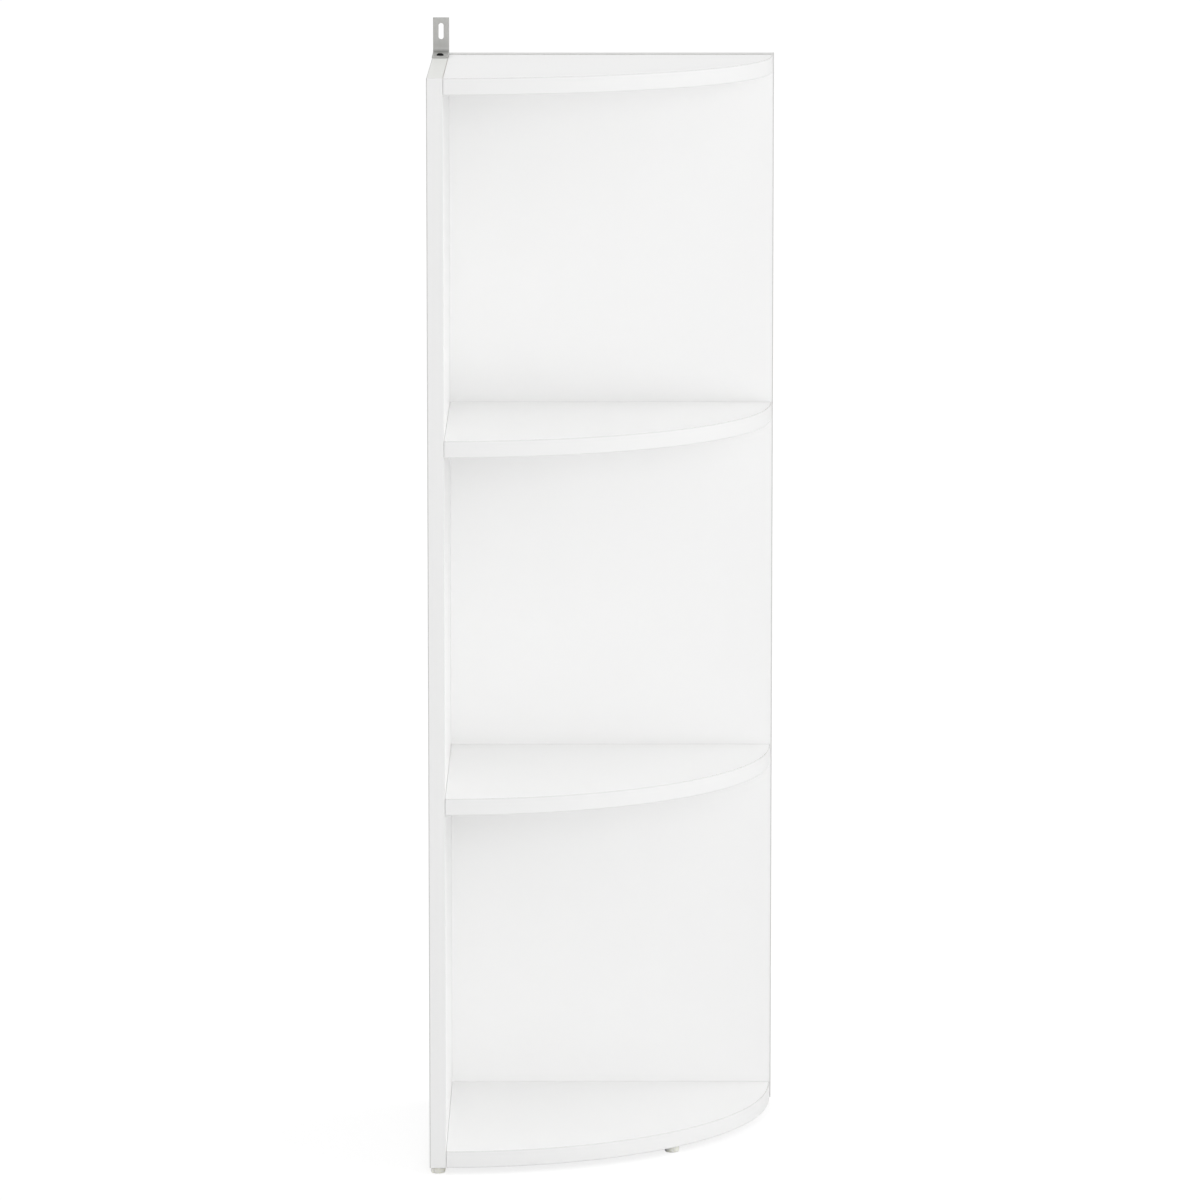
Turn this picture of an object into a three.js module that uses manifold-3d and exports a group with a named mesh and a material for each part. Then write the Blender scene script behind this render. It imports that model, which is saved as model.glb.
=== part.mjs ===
// Corner shelf unit with quarter-round boards.
//
// A full-height side panel and a back panel stand at a right angle. Four quarter-round boards, the bottom
// and the top one included, fill the corner between them and leave three open compartments. The boards are
// pulled against the side panel by cam locks let into their undersides, kept in line by wooden dowels, and
// held to the back panel by screws driven through it. The back panel stands a little past the boards' right
// tips and above the top board. Every edge that shows carries a thin band. The unit stands on four nailed
// glides and is tied to the wall by an angle bracket on top of the side panel.
//
// Lengths are in millimetres. +X is to the right, +Y towards the back wall, +Z up. The origin is on the
// floor, under the middle of the unit.

import * as THREE from "three";
import { mergeVertices } from "three/addons/utils/BufferGeometryUtils.js";
import Module from "manifold-3d";

const wasm = await Module();
wasm.setup();

// Boards and panels
const SHELF_RADIUS = 320; // from the inner corner to the curved front, edge band included
const SHELF_THICKNESS = 16;
const PANEL_THICKNESS = 16;
const PANEL_HEIGHT = 1052;
const BACK_OVERHANG = 1.5; // by which the back panel stands past the boards' tips and above the top board
const LEVEL_NAMES = ["bottom_board", "lower_shelf", "upper_shelf", "top_board"];

// Edge bands and the hairlines between pieces
const BAND_THICKNESS = 1;
const GLUE_LINE = 0.1;
const JOINT_GAP = 0.2; // between a board and the panels it is fixed to
const CORNER_GAP = 0.05; // between the back panel's edge and the side panel
const SEAT_GAP = 0.1; // under a piece that rests on another
const FIT = 0.15; // round a fitting in its bore
const BORE_END_ROOM = 1; // left beyond the end of a fitting in a blind bore

// Cam locks, one near each end of a board's edge along the side panel
const CAM_INSET = 64; // from the back panel, and from the board's front tip
const CAM_SETBACK = 34; // from the side panel to the cam's axis
const CAM_DIAMETER = 15;
const CAM_SKIN = 3.3; // board left above the cam
const CAM_WALL = 2.2;
const CAM_ECCENTRICITY = 0.9;
const CAM_TURN = THREE.MathUtils.degToRad(190); // from the open position to the locked one
const CAM_DRIVE_LENGTH = 7;
const CAM_DRIVE_WIDTH = 1.4;
const CAM_DRIVE_DEPTH_SHARE = 0.6; // of the cam's floor under its hollow
const CAM_ARROW_LENGTH = 2.2;
const CAM_ARROW_DEPTH = 0.5;
const CAM_ARROW_INSET = 0.7; // from the arrow's tip to the rim

// The bolts that the cams grip
const BOLT_IN_PANEL = 11;
const BOLT_THREAD_DIAMETER = 5.8;
const BOLT_TIP_CHAMFER = 1;
const BOLT_COLLAR_DIAMETER = 7.4;
const BOLT_COLLAR_LENGTH = 2.5;
const BOLT_SHANK_DIAMETER = 5.2;
const BOLT_NECK_DIAMETER = 3.6;
const BOLT_NECK_RUNOUT = 1.5; // neck that shows between the shank and the cam
const BOLT_HEAD_DIAMETER = 6.8;
const BOLT_BORE_DIAMETER = 8;

// Fluted wooden dowels
const DOWEL_INSET = 96; // from the back panel, and from the board's front tip
const DOWEL_DIAMETER = 8;
const DOWEL_LENGTH = 30;
const DOWEL_IN_PANEL = 10;
const DOWEL_CHAMFER = 1;
const DOWEL_FLUTE_DEPTH = 0.35;
const DOWEL_FLUTES = 7;

// One-piece connecting screws through the back panel
const SCREW_INSET = 64; // from the side panel, and from the board's right tip
const SCREW_GRIP = 34; // length inside the board
const SCREW_HEAD_DIAMETER = 10;
const SCREW_HEAD_DEPTH = 2;
const SCREW_CONE_DEPTH = 2.5;
const SCREW_SHANK_DIAMETER = 7;
const SCREW_CORE_DIAMETER = 5;
const SCREW_TIP_LENGTH = 4;
const SCREW_TIP_DIAMETER = 2.4;
const SCREW_HEX = 4; // across the flats of the key's socket
const SCREW_HEX_DEPTH = 3;

// Glides and their nails
const GLIDE_DIAMETER = 14.5;
const GLIDE_HEIGHT = 6.5;
const GLIDE_INSET = 10; // from the edge of the board or panel to the glide's centre
const GLIDE_EDGE_RADIUS = 1.3;
const NAIL_HEAD_DIAMETER = 5;
const NAIL_HEAD_THICKNESS = 0.8;
const NAIL_SHANK_DIAMETER = 2;
const NAIL_LENGTH = 12; // inside the board
const NAIL_POINT_LENGTH = 3;

// Wall bracket, bent from strip, and its screw
const BRACKET_WIDTH = 16;
const BRACKET_THICKNESS = 2;
const BRACKET_LEG = 36; // height above the side panel
const BRACKET_FOOT = 64; // length along the side panel's top edge
const BRACKET_BEND_RADIUS = 4.5; // inside the bend
const SLOT_WIDTH = 5;
const SLOT_LENGTH = 16;
const SLOT_END_DISTANCE = 5.5; // from the slot to the leg's end
const BRACKET_HOLE_ROOM = 0.6; // by which the screw's hole is wider than the screw
const WOOD_SCREW_DISTANCE = 10; // from the foot's end to the screw
const WOOD_SCREW_DIAMETER = 3.5;
const WOOD_SCREW_LENGTH = 25;
const WOOD_SCREW_POINT = 5;
const WOOD_SCREW_HEAD_DIAMETER = 7;
const WOOD_SCREW_HEAD_HEIGHT = 2.2;
const WOOD_SCREW_DRIVE_LENGTH = 4.2;
const WOOD_SCREW_DRIVE_WIDTH = 1;
const WOOD_SCREW_DRIVE_DEPTH = 1.4;

const OVERRUN = 1; // how far a cutting tool reaches past the face it opens

// Facets of the curves
const ARC_SEGMENTS = 36; // along a quarter-round front
const BORE_SEGMENTS = 12;
const CAM_SEGMENTS = 20;
const FASTENER_SEGMENTS = 10;
const DOME_SEGMENTS = 4; // from a round head's rim to its middle
const GLIDE_SEGMENTS = 20;
const GLIDE_EDGE_SEGMENTS = 2;
const BEND_SEGMENTS = 6; // through the bracket's right angle, and along half of its slot's end
const HEXAGON_SIDES = 6;

// Places worked out from the sizes above
const unitDepth = SHELF_RADIUS + PANEL_THICKNESS;
const unitWidth = unitDepth + BACK_OVERHANG;
const left = -unitWidth / 2;
const right = unitWidth / 2;
const front = -unitDepth / 2;
const rear = unitDepth / 2;
const innerLeft = left + PANEL_THICKNESS;
const innerRear = rear - PANEL_THICKNESS;
const panelBottom = GLIDE_HEIGHT;
const panelTop = panelBottom + PANEL_HEIGHT;
const backPanelTop = panelTop + BACK_OVERHANG;
const levelPitch = (PANEL_HEIGHT - SHELF_THICKNESS) / (LEVEL_NAMES.length - 1);
const levelUndersides = LEVEL_NAMES.map((_, level) => panelBottom + level * levelPitch);
const bandSpace = BAND_THICKNESS + GLUE_LINE;
const boltLevel = SHELF_THICKNESS / 2; // every fitting lies in the middle of the board's thickness

// A board's fittings, measured from the inner corner along either straight edge
const camPlaces = { rear: CAM_INSET, front: SHELF_RADIUS - CAM_INSET };
const dowelPlaces = { rear: DOWEL_INSET, front: SHELF_RADIUS - DOWEL_INSET };
const screwPlaces = { left: SCREW_INSET, right: SHELF_RADIUS - SCREW_INSET };

// A dowel half-way up each compartment keeps the back panel's edge in line with the side panel.
const compartmentTops = levelUndersides.slice(1);
const cornerDowelHeights = compartmentTops.map((top) => top - levelPitch / 2 + boltLevel);

// The cam and the bolt's head that it pulls: the head rests on the hollow's wall on the panel's side.
const camBoreDepth = SHELF_THICKNESS - CAM_SKIN;
const camHeight = camBoreDepth - 2 * SEAT_GAP;
const camRadius = CAM_DIAMETER / 2 - FIT;
const camHollowRadius = camRadius - CAM_WALL;
const boltHeadRadius = BOLT_HEAD_DIAMETER / 2;
const boltHeadRoom = boltHeadRadius + 2 * FIT;
const boltNeckRoom = BOLT_NECK_DIAMETER / 2 + 2 * FIT;
const boltLevelInCam = boltLevel - SEAT_GAP;
const boltHeadPlace = CAM_SETBACK + CAM_ECCENTRICITY - camHollowRadius + boltHeadRadius + FIT;

// Glides: in the middle of the panels' thickness, and one under the middle of the bottom board's curve
const curveGlideReach = (SHELF_RADIUS - GLIDE_INSET) * Math.SQRT1_2;
const glidePlaces = {
  front: { x: left + PANEL_THICKNESS / 2, y: front + GLIDE_INSET },
  corner: { x: left + PANEL_THICKNESS / 2, y: rear - GLIDE_INSET },
  right: { x: right - GLIDE_INSET, y: rear - PANEL_THICKNESS / 2 },
  middle: { x: innerLeft + curveGlideReach, y: innerRear - curveGlideReach },
};

// The bracket stands in the middle of the side panel's top edge, its leg against the wall.
const bracketX = left + PANEL_THICKNESS / 2;
const woodScrewY = rear - BRACKET_FOOT + WOOD_SCREW_DISTANCE;

const RIGHTWARDS = new THREE.Vector3(1, 0, 0);
const FORWARDS = new THREE.Vector3(0, -1, 0);
const UPWARDS = new THREE.Vector3(0, 0, 1);
const DOWNWARDS = new THREE.Vector3(0, 0, -1);
const LATHE_AXIS = new THREE.Vector3(0, 1, 0);

const melamine = new THREE.MeshStandardMaterial({ color: 0xf1f1ef, roughness: 0.42, metalness: 0 });
const edgeBanding = new THREE.MeshStandardMaterial({ color: 0xf3f3f1, roughness: 0.35, metalness: 0 });
const zincStrip = new THREE.MeshStandardMaterial({ color: 0xb9bab5, roughness: 0.35, metalness: 0.9 });
const blackSteel = new THREE.MeshStandardMaterial({ color: 0x17171a, roughness: 0.4, metalness: 0.6 });
const brightSteel = new THREE.MeshStandardMaterial({ color: 0xc6c7c4, roughness: 0.35, metalness: 1 });
const castZinc = new THREE.MeshStandardMaterial({ color: 0xa9aaa8, roughness: 0.5, metalness: 0.9 });
const beech = new THREE.MeshStandardMaterial({ color: 0xcfa878, roughness: 0.7, metalness: 0 });
const creamPlastic = new THREE.MeshStandardMaterial({ color: 0xe4e3d2, roughness: 0.45, metalness: 0 });

// A closed geometry as a manifold-3d solid: equal vertices are joined and empty triangles left out.
function toSolid(geometry) {
  const plain = geometry.index ? geometry.toNonIndexed() : geometry.clone();
  plain.deleteAttribute("normal");
  plain.deleteAttribute("uv");
  const merged = mergeVertices(plain);
  const corners = merged.index.array;
  const kept = [];
  for (let i = 0; i < corners.length; i += 3) {
    const [a, b, c] = [corners[i], corners[i + 1], corners[i + 2]];
    if (a !== b && b !== c && c !== a) {
      kept.push(a, b, c);
    }
  }
  return new wasm.Manifold(
    new wasm.Mesh({
      numProp: 3,
      vertProperties: merged.attributes.position.array,
      triVerts: new Uint32Array(kept),
    }),
  );
}

function toGeometry(solid) {
  const mesh = solid.getMesh();
  const geometry = new THREE.BufferGeometry();
  geometry.setAttribute("position", new THREE.BufferAttribute(new Float32Array(mesh.vertProperties), 3));
  geometry.setIndex(new THREE.BufferAttribute(new Uint32Array(mesh.triVerts), 1));
  geometry.computeVertexNormals();
  return geometry;
}

// The body with every tool cut out of it.
function cut(body, tools) {
  const solid = tools.reduce((remaining, tool) => remaining.subtract(toSolid(tool)), toSolid(body));
  return toGeometry(solid);
}

// A geometry made along the lathe's axis, turned to point along a direction and moved to a place.
function aimed(geometry, direction, x, y, z) {
  const turn = new THREE.Quaternion().setFromUnitVectors(LATHE_AXIS, direction);
  return geometry.applyQuaternion(turn).translate(x, y, z);
}

// A round hole that starts at a face and runs along a direction into the material.
function bore(diameter, depth, direction, x, y, z, segments = BORE_SEGMENTS) {
  const length = depth + OVERRUN;
  const cylinder = new THREE.CylinderGeometry(diameter / 2, diameter / 2, length, segments);
  return aimed(cylinder.translate(0, length / 2 - OVERRUN, 0), direction, x, y, z);
}

// A solid of revolution from [radius, height] points that start and end on the axis, the lowest first.
function turned(points, segments) {
  const profile = points.map(([radius, height]) => new THREE.Vector2(radius, height));
  return new THREE.LatheGeometry(profile, segments);
}

// A block between two corners, centred on its own origin; the mesh's position puts it in place.
function block(low, high) {
  const size = high.clone().sub(low);
  return new THREE.BoxGeometry(size.x, size.y, size.z);
}

// A cross-shaped recess for a driver, reaching down from height zero by a depth.
function crossRecess(length, width, depth) {
  const height = depth + OVERRUN;
  const bar = new THREE.BoxGeometry(length, height, width).translate(0, height / 2 - depth, 0);
  return [bar, bar.clone().rotateY(Math.PI / 2)];
}

function addMesh(parent, name, geometry, material, x = 0, y = 0, z = 0) {
  const mesh = new THREE.Mesh(geometry, material);
  mesh.name = name;
  mesh.position.set(x, y, z);
  parent.add(mesh);
  return mesh;
}

// Adds a turned piece whose axis points along a direction.
function addAimed(parent, name, geometry, material, direction, x, y, z) {
  const mesh = addMesh(parent, name, geometry, material, x, y, z);
  mesh.quaternion.setFromUnitVectors(LATHE_AXIS, direction);
  return mesh;
}

// Adds a block between two corners in its parent's frame, with holes given in that same frame.
function addBlock(parent, name, low, high, material, tools = []) {
  const centre = low.clone().add(high).divideScalar(2);
  const local = tools.map((tool) => tool.translate(-centre.x, -centre.y, -centre.z));
  const solid = block(low, high);
  addMesh(parent, name, local.length ? cut(solid, local) : solid, material, centre.x, centre.y, centre.z);
}

// Quarter-round boards. Their outlines are drawn from the inner corner, with the front towards -Y.

// The outline between two radii, or from the corner itself when the inner radius is zero. Both straight
// edges stand back from the panels by the joint gap.
function quarterOutline(outerRadius, innerRadius) {
  const outerLift = Math.asin(JOINT_GAP / outerRadius);
  const outline = new THREE.Shape();
  outline.absarc(0, 0, outerRadius, -outerLift, outerLift - Math.PI / 2, true);
  if (innerRadius > 0) {
    const innerLift = Math.asin(JOINT_GAP / innerRadius);
    outline.absarc(0, 0, innerRadius, innerLift - Math.PI / 2, -innerLift, false);
  } else {
    outline.lineTo(JOINT_GAP, -JOINT_GAP);
  }
  return outline;
}

function quarterSlab(outerRadius, innerRadius) {
  return new THREE.ExtrudeGeometry(quarterOutline(outerRadius, innerRadius), {
    depth: SHELF_THICKNESS,
    bevelEnabled: false,
    curveSegments: ARC_SEGMENTS / 2, // an arc gets twice this number of segments
  });
}

// The core of a board with the bores of its fittings; a cam's bore opens in the underside.
function boardCore(nailPlace) {
  const tools = [];
  for (const place of Object.values(camPlaces)) {
    tools.push(bore(CAM_DIAMETER, camBoreDepth, UPWARDS, CAM_SETBACK, -place, 0, CAM_SEGMENTS));
    tools.push(bore(BOLT_BORE_DIAMETER, CAM_SETBACK, RIGHTWARDS, 0, -place, boltLevel));
  }
  const dowelDepth = DOWEL_LENGTH - DOWEL_IN_PANEL + BORE_END_ROOM;
  for (const place of Object.values(dowelPlaces)) {
    tools.push(bore(DOWEL_DIAMETER + 2 * FIT, dowelDepth, RIGHTWARDS, 0, -place, boltLevel));
  }
  const pilotDiameter = SCREW_CORE_DIAMETER + 2 * FIT;
  const pilotDepth = SCREW_GRIP + BORE_END_ROOM;
  for (const place of Object.values(screwPlaces)) {
    tools.push(bore(pilotDiameter, pilotDepth, FORWARDS, place, 0, boltLevel));
  }
  if (nailPlace) {
    tools.push(nailBore(nailPlace.x, nailPlace.y, 0));
  }
  return cut(quarterSlab(SHELF_RADIUS - bandSpace, 0), tools);
}

// An upright cylinder between two heights.
function uprightDisc(radius, low, high, segments) {
  const disc = new THREE.CylinderGeometry(radius, radius, high - low, segments);
  return disc.rotateX(Math.PI / 2).translate(0, 0, (low + high) / 2);
}

// Cam lock: a disc with an off-centre hollow that takes the bolt's head, an entrance as wide as the head,
// and a narrower slot for the neck that runs round from the entrance to the side where the bolt arrives.
function camLock() {
  const openSide = Math.PI - CAM_TURN;
  const floor = boltLevelInCam - boltHeadRoom;
  const ceiling = boltLevelInCam + boltHeadRoom;
  const hollow = uprightDisc(camHollowRadius, floor, ceiling, BORE_SEGMENTS);
  hollow.translate(CAM_ECCENTRICITY, 0, 0);

  const entranceDirection = new THREE.Vector3(Math.cos(openSide), Math.sin(openSide), 0);
  const entrance = bore(2 * boltHeadRoom, camRadius + OVERRUN, entranceDirection, 0, 0, boltLevelInCam);

  // The neck slot is a sector of a ring, a little longer than the turn so that the neck clears its end.
  const slotEnd = Math.PI + Math.asin(boltNeckRoom / camHollowRadius);
  const slotOuter = camRadius + OVERRUN;
  const slotInner = camHollowRadius - CAM_WALL;
  const sector = new THREE.Shape();
  sector.absarc(0, 0, slotOuter, openSide, slotEnd, false);
  sector.absarc(0, 0, slotInner, slotEnd, openSide, true);
  const slot = new THREE.ExtrudeGeometry(sector, {
    depth: 2 * boltNeckRoom,
    bevelEnabled: false,
    curveSegments: CAM_SEGMENTS / 4,
  }).translate(0, 0, boltLevelInCam - boltNeckRoom);

  const drive = crossRecess(CAM_DRIVE_LENGTH, CAM_DRIVE_WIDTH, floor * CAM_DRIVE_DEPTH_SHARE);
  drive.forEach((bar) => bar.rotateX(-Math.PI / 2).rotateZ(Math.PI / 4));

  // The arrow on the rim points to the entrance.
  const arrowTip = camRadius - CAM_ARROW_INSET;
  const arrow = new THREE.Shape()
    .moveTo(arrowTip, 0)
    .lineTo(arrowTip - CAM_ARROW_LENGTH, CAM_ARROW_LENGTH / 2)
    .lineTo(arrowTip - CAM_ARROW_LENGTH, -CAM_ARROW_LENGTH / 2);
  const mark = new THREE.ExtrudeGeometry(arrow, { depth: CAM_ARROW_DEPTH + OVERRUN, bevelEnabled: false });
  mark.translate(0, 0, -OVERRUN).rotateZ(openSide);

  const disc = uprightDisc(camRadius, 0, camHeight, CAM_SEGMENTS);
  return cut(disc, [hollow, entrance, slot, ...drive, mark]);
}

// Cam bolt, made along its axis with height zero at the side panel's face.
function camBolt() {
  const thread = BOLT_THREAD_DIAMETER / 2;
  const neck = BOLT_NECK_DIAMETER / 2;
  const neckStart = CAM_SETBACK - CAM_DIAMETER / 2 - BOLT_NECK_RUNOUT;
  const points = [
    [0, -BOLT_IN_PANEL],
    [thread - BOLT_TIP_CHAMFER, -BOLT_IN_PANEL],
    [thread, -BOLT_IN_PANEL + BOLT_TIP_CHAMFER],
    [thread, JOINT_GAP],
    [BOLT_COLLAR_DIAMETER / 2, JOINT_GAP],
    [BOLT_COLLAR_DIAMETER / 2, BOLT_COLLAR_LENGTH],
    [BOLT_SHANK_DIAMETER / 2, BOLT_COLLAR_LENGTH],
    [BOLT_SHANK_DIAMETER / 2, neckStart - BOLT_NECK_RUNOUT],
    [neck, neckStart],
  ];
  const neckAngle = Math.asin(neck / boltHeadRadius);
  for (let step = 0; step < DOME_SEGMENTS; step += 1) {
    const angle = neckAngle + ((Math.PI - neckAngle) * step) / DOME_SEGMENTS;
    points.push([boltHeadRadius * Math.sin(angle), boltHeadPlace - boltHeadRadius * Math.cos(angle)]);
  }
  points.push([0, boltHeadPlace + boltHeadRadius]);
  return turned(points, FASTENER_SEGMENTS);
}

// Fluted dowel with chamfered ends, made along its axis with height zero at its middle. Every second
// edge line of the turned rod is drawn inwards to make the flutes.
function dowel() {
  const radius = DOWEL_DIAMETER / 2;
  const end = DOWEL_LENGTH / 2;
  const points = [
    [0, -end],
    [radius - DOWEL_CHAMFER, -end],
    [radius, DOWEL_CHAMFER - end],
    [radius, end - DOWEL_CHAMFER],
    [radius - DOWEL_CHAMFER, end],
    [0, end],
  ];
  const rod = turned(points, 2 * DOWEL_FLUTES);
  const position = rod.attributes.position;
  const fluteShare = 1 - DOWEL_FLUTE_DEPTH / radius;
  for (let i = 0; i < position.count; i += 1) {
    const edgeLine = Math.floor(i / points.length);
    if (edgeLine % 2) {
      position.setX(i, position.getX(i) * fluteShare);
      position.setZ(i, position.getZ(i) * fluteShare);
    }
  }
  return rod;
}

// The outline of a back screw, or of the pocket that takes it in the back panel when a clearance is given.
// Height zero is at the panel's rear face and the screw points to +Y.
function backScrewHead(clearance) {
  return [
    [0, clearance ? -OVERRUN : SEAT_GAP],
    [SCREW_HEAD_DIAMETER / 2 + clearance, clearance ? -OVERRUN : SEAT_GAP],
    [SCREW_HEAD_DIAMETER / 2 + clearance, SCREW_HEAD_DEPTH + clearance],
    [SCREW_SHANK_DIAMETER / 2 + clearance, SCREW_HEAD_DEPTH + SCREW_CONE_DEPTH + clearance],
  ];
}

function backScrew() {
  const length = PANEL_THICKNESS + SCREW_GRIP;
  const shoulder = PANEL_THICKNESS - SEAT_GAP;
  const points = [
    ...backScrewHead(0),
    [SCREW_SHANK_DIAMETER / 2, shoulder],
    [SCREW_CORE_DIAMETER / 2, shoulder],
    [SCREW_CORE_DIAMETER / 2, length - SCREW_TIP_LENGTH],
    [SCREW_TIP_DIAMETER / 2, length],
    [0, length],
  ];
  const socketRadius = SCREW_HEX / 2 / Math.cos(Math.PI / HEXAGON_SIDES);
  const socketDepth = SCREW_HEX_DEPTH + OVERRUN;
  const socket = new THREE.CylinderGeometry(socketRadius, socketRadius, socketDepth, HEXAGON_SIDES);
  socket.translate(0, socketDepth / 2 - OVERRUN + SEAT_GAP, 0);
  return cut(turned(points, FASTENER_SEGMENTS), [socket]);
}

function backScrewPocket(x, z) {
  const through = PANEL_THICKNESS + OVERRUN;
  const points = [...backScrewHead(FIT), [SCREW_SHANK_DIAMETER / 2 + FIT, through], [0, through]];
  return aimed(turned(points, BORE_SEGMENTS), FORWARDS, x, rear, z);
}

// Everything on one level, in a group whose origin is the inner corner at the board's underside.
function addLevel(parent, name, underside, nailPlace) {
  const level = new THREE.Group();
  level.position.set(innerLeft, innerRear, underside);
  parent.add(level);

  const band = quarterSlab(SHELF_RADIUS, SHELF_RADIUS - BAND_THICKNESS);
  addMesh(level, name, boardCore(nailPlace), melamine);
  addMesh(level, `${name}_edge_band`, band, edgeBanding);
  for (const [end, place] of Object.entries(camPlaces)) {
    addMesh(level, `${name}_cam_${end}`, camLock(), castZinc, CAM_SETBACK, -place, SEAT_GAP);
    addAimed(level, `${name}_cam_bolt_${end}`, camBolt(), brightSteel, RIGHTWARDS, 0, -place, boltLevel);
  }
  const dowelMiddle = DOWEL_LENGTH / 2 - DOWEL_IN_PANEL;
  for (const [end, place] of Object.entries(dowelPlaces)) {
    addAimed(level, `${name}_dowel_${end}`, dowel(), beech, RIGHTWARDS, dowelMiddle, -place, boltLevel);
  }
  for (const [end, place] of Object.entries(screwPlaces)) {
    const screwName = `${name}_back_screw_${end}`;
    addAimed(level, screwName, backScrew(), brightSteel, FORWARDS, place, PANEL_THICKNESS, boltLevel);
  }
}

// Glides: a plastic disc nailed to the board, the nail's head in a pocket under the board.

function glide() {
  const radius = GLIDE_DIAMETER / 2;
  const top = GLIDE_HEIGHT - SEAT_GAP;
  const pocketRadius = NAIL_HEAD_DIAMETER / 2 + FIT;
  const pocketFloor = top - NAIL_HEAD_THICKNESS - 2 * SEAT_GAP;
  const points = [[0, 0]];
  for (let step = 0; step <= GLIDE_EDGE_SEGMENTS; step += 1) {
    const angle = (Math.PI / 2 / GLIDE_EDGE_SEGMENTS) * step;
    points.push([
      radius - GLIDE_EDGE_RADIUS * (1 - Math.sin(angle)),
      GLIDE_EDGE_RADIUS * (1 - Math.cos(angle)),
    ]);
  }
  points.push([radius, top], [pocketRadius, top], [pocketRadius, pocketFloor], [0, pocketFloor]);
  return turned(points, GLIDE_SEGMENTS);
}

function nail() {
  const headTop = -SEAT_GAP;
  const headBottom = headTop - NAIL_HEAD_THICKNESS;
  const shank = NAIL_SHANK_DIAMETER / 2;
  return turned(
    [
      [0, headBottom],
      [NAIL_HEAD_DIAMETER / 2, headBottom],
      [NAIL_HEAD_DIAMETER / 2, headTop],
      [shank, headTop],
      [shank, NAIL_LENGTH - NAIL_POINT_LENGTH],
      [0, NAIL_LENGTH],
    ],
    FASTENER_SEGMENTS,
  );
}

function nailBore(x, y, z) {
  return bore(NAIL_SHANK_DIAMETER + 2 * FIT, NAIL_LENGTH + BORE_END_ROOM, UPWARDS, x, y, z);
}

function addGlides(parent) {
  for (const [name, { x, y }] of Object.entries(glidePlaces)) {
    addAimed(parent, `glide_${name}`, glide(), creamPlastic, UPWARDS, x, y, 0);
    addAimed(parent, `glide_nail_${name}`, nail(), brightSteel, UPWARDS, x, y, panelBottom);
  }
}

// The side panel, with bands on its front, top and rear edges.

function addSidePanel(parent) {
  const tools = [];
  for (const underside of levelUndersides) {
    const z = underside + boltLevel;
    for (const place of Object.values(camPlaces)) {
      tools.push(panelBore(BOLT_THREAD_DIAMETER, BOLT_IN_PANEL, innerRear - place, z));
    }
    for (const place of Object.values(dowelPlaces)) {
      tools.push(panelBore(DOWEL_DIAMETER, DOWEL_IN_PANEL, innerRear - place, z));
    }
  }
  for (const z of cornerDowelHeights) {
    tools.push(panelBore(DOWEL_DIAMETER, DOWEL_IN_PANEL, rear - PANEL_THICKNESS / 2, z));
  }
  for (const { x, y } of [glidePlaces.front, glidePlaces.corner]) {
    tools.push(nailBore(x, y, panelBottom));
  }
  tools.push(woodScrewBore());
  addBlock(
    parent,
    "side_panel",
    new THREE.Vector3(left, front + bandSpace, panelBottom),
    new THREE.Vector3(innerLeft, rear - bandSpace, panelTop - bandSpace),
    melamine,
    tools,
  );
  addBlock(
    parent,
    "side_panel_front_band",
    new THREE.Vector3(left, front, panelBottom),
    new THREE.Vector3(innerLeft, front + BAND_THICKNESS, panelTop),
    edgeBanding,
  );
  addBlock(
    parent,
    "side_panel_rear_band",
    new THREE.Vector3(left, rear - BAND_THICKNESS, panelBottom),
    new THREE.Vector3(innerLeft, rear, panelTop),
    edgeBanding,
  );
  addBlock(
    parent,
    "side_panel_top_band",
    new THREE.Vector3(left, front + bandSpace, panelTop - BAND_THICKNESS),
    new THREE.Vector3(innerLeft, rear - bandSpace, panelTop),
    edgeBanding,
    [woodScrewBore()],
  );
}

// A blind hole in the side panel's inner face.
function panelBore(diameter, depth, y, z) {
  const leftwards = RIGHTWARDS.clone().negate();
  return bore(diameter + 2 * FIT, depth + BORE_END_ROOM, leftwards, innerLeft, y, z);
}

// The back panel, with bands on its top edge and its right end.

function addBackPanel(parent) {
  const tools = [];
  for (const underside of levelUndersides) {
    for (const place of Object.values(screwPlaces)) {
      tools.push(backScrewPocket(innerLeft + place, underside + boltLevel));
    }
  }
  const edge = innerLeft + CORNER_GAP;
  const middle = rear - PANEL_THICKNESS / 2;
  const dowelDepth = DOWEL_LENGTH - DOWEL_IN_PANEL + BORE_END_ROOM;
  for (const z of cornerDowelHeights) {
    tools.push(bore(DOWEL_DIAMETER + 2 * FIT, dowelDepth, RIGHTWARDS, edge, middle, z));
  }
  tools.push(nailBore(glidePlaces.right.x, glidePlaces.right.y, panelBottom));
  addBlock(
    parent,
    "back_panel",
    new THREE.Vector3(edge, innerRear, panelBottom),
    new THREE.Vector3(right - bandSpace, rear, backPanelTop - bandSpace),
    melamine,
    tools,
  );
  addBlock(
    parent,
    "back_panel_end_band",
    new THREE.Vector3(right - BAND_THICKNESS, innerRear, panelBottom),
    new THREE.Vector3(right, rear, backPanelTop),
    edgeBanding,
  );
  addBlock(
    parent,
    "back_panel_top_band",
    new THREE.Vector3(edge, innerRear, backPanelTop - BAND_THICKNESS),
    new THREE.Vector3(right - bandSpace, rear, backPanelTop),
    edgeBanding,
  );
}

// The dowels that keep the back panel's edge in line with the side panel.
function addCornerDowels(parent) {
  const x = innerLeft + DOWEL_LENGTH / 2 - DOWEL_IN_PANEL;
  const y = rear - PANEL_THICKNESS / 2;
  const names = ["lower", "middle", "upper"];
  cornerDowelHeights.forEach((z, i) => {
    addAimed(parent, `corner_dowel_${names[i]}`, dowel(), beech, RIGHTWARDS, x, y, z);
  });
}

// Wall bracket and its screw. The bracket's frame has its origin where the wall meets the side panel's top.

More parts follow.
